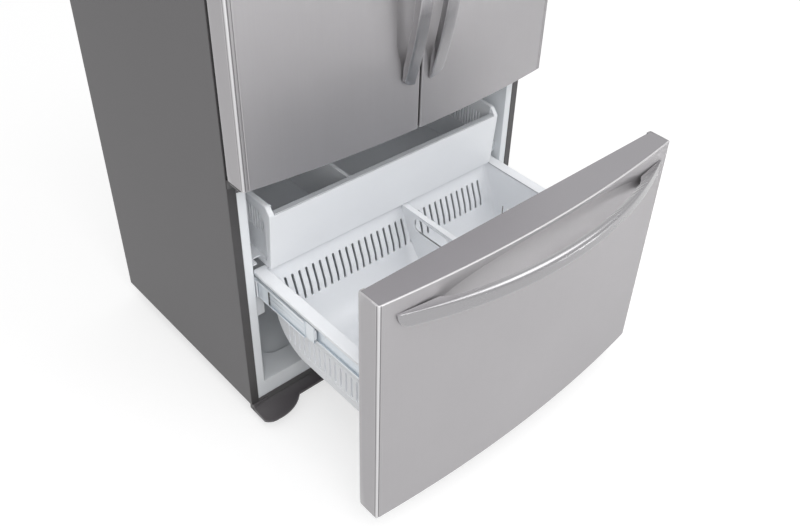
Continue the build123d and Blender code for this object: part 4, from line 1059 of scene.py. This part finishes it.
# ------------------------------------------------------------------ camera at the photograph's angle
PHOTO_W, PHOTO_H = 800, 531
FOCAL = 886.0                     # focal length in pixels of the photograph
AIM_X, AIM_Y = 482.5, 230.5       # the pixel that the camera looks straight at
EYE = (-1.2136, FRONT * MM - 1.3909, 1.8395)
SENSOR = 36.0
azimuth, elevation, roll = (math.radians(v) for v in (-48.702, 37.713, 5.777))
backward = Vector((math.sin(azimuth) * math.cos(elevation), -math.cos(azimuth) * math.cos(elevation),
                   math.sin(elevation)))
right = (-backward).cross(Vector((0, 0, 1))).normalized()
up = right.cross(-backward)
cam_x = right * math.cos(roll) + up * math.sin(roll)
cam_y = up * math.cos(roll) - right * math.sin(roll)
cam_data = bpy.data.cameras.new("camera")
cam_data.sensor_width = SENSOR
cam_data.lens = FOCAL / PHOTO_W * SENSOR
cam_data.shift_x = (PHOTO_W / 2 - AIM_X) / PHOTO_W
cam_data.shift_y = (AIM_Y - PHOTO_H / 2) / PHOTO_W
camera = bpy.data.objects.new("camera", cam_data)
scene.collection.objects.link(camera)
turn = Matrix((cam_x, cam_y, backward)).transposed().to_4x4()
camera.matrix_world = Matrix.Translation(EYE) @ turn
scene.camera = camera

# ------------------------------------------------------------------ floor, light and background
FLOOR_HALF, FLOOR_GREY, FLOOR_GLOW = 9, 0.45, 0.63
SOFT = 0.68                       # strength of the even light from all round


def ray_gate(nt):
    """1 for the rays that see the white background: camera, glossy and transmission rays."""
    path = nt.nodes.new("ShaderNodeLightPath").outputs
    seen = maths(nt, "MAXIMUM", path["Is Camera Ray"], path["Is Transmission Ray"])
    return maths(nt, "MAXIMUM", seen, path["Is Glossy Ray"])


me = bpy.data.meshes.new("floor")
me.from_pydata([(x * FLOOR_HALF, y * FLOOR_HALF, 0) for x, y in ((-1, -1), (1, -1), (1, 1), (-1, 1))], [],
               [(0, 1, 2, 3)])
floor = bpy.data.objects.new("floor", me)
scene.collection.objects.link(floor)
fm = bpy.data.materials.new("floor")
fm.use_nodes = True
nt = fm.node_tree
nt.nodes.clear()
diff = node(nt, "BsdfDiffuse", Color=(FLOOR_GREY, FLOOR_GREY, FLOOR_GREY, 1))
glow = node(nt, "Emission", Strength=maths(nt, "MULTIPLY", ray_gate(nt), FLOOR_GLOW))
add = nt.nodes.new("ShaderNodeAddShader")
nt.links.new(diff.outputs[0], add.inputs[0])
nt.links.new(glow.outputs[0], add.inputs[1])
node(nt, "OutputMaterial", Surface=add.outputs[0])
me.materials.append(fm)

world = bpy.data.worlds.new("studio")
scene.world = world
world.use_nodes = True
nt = world.node_tree
nt.nodes.clear()
pick = node(nt, "MixShader", Fac=ray_gate(nt))
for slot, strength in ((1, SOFT), (2, 1.0)):
    sky = node(nt, "Background", Color=(1, 1, 1, 1), Strength=strength)
    nt.links.new(sky.outputs[0], pick.inputs[slot])
node(nt, "OutputWorld", Surface=pick.outputs[0])

for name, place, target, size, watts, spread in (
        ("key", (1.8, -2.6, 3.6), (0, -0.2, 0.6), 2.4, 45, 180),
        ("top", (-0.3, -0.6, 4.2), (0, -0.3, 0.5), 3.0, 40, 180),
        ("fill", (-0.9, -1.3, 1.5), (0, 0.1, 0.5), 0.9, 10, 180),
        ("pool", (1.5, -1.95, 0.5), (1.5, -1.95, 0), 0.7, 12, 75)):
    light = bpy.data.lights.new(name, "AREA")
    light.shape = "RECTANGLE"
    light.size = light.size_y = size
    light.energy = watts
    light.spread = math.radians(spread)
    lamp = bpy.data.objects.new(name, light)
    scene.collection.objects.link(lamp)
    lamp.location = place
    lamp.rotation_euler = (Vector(target) - Vector(place)).to_track_quat("-Z", "Y").to_euler()

scene.view_settings.view_transform = "Standard"
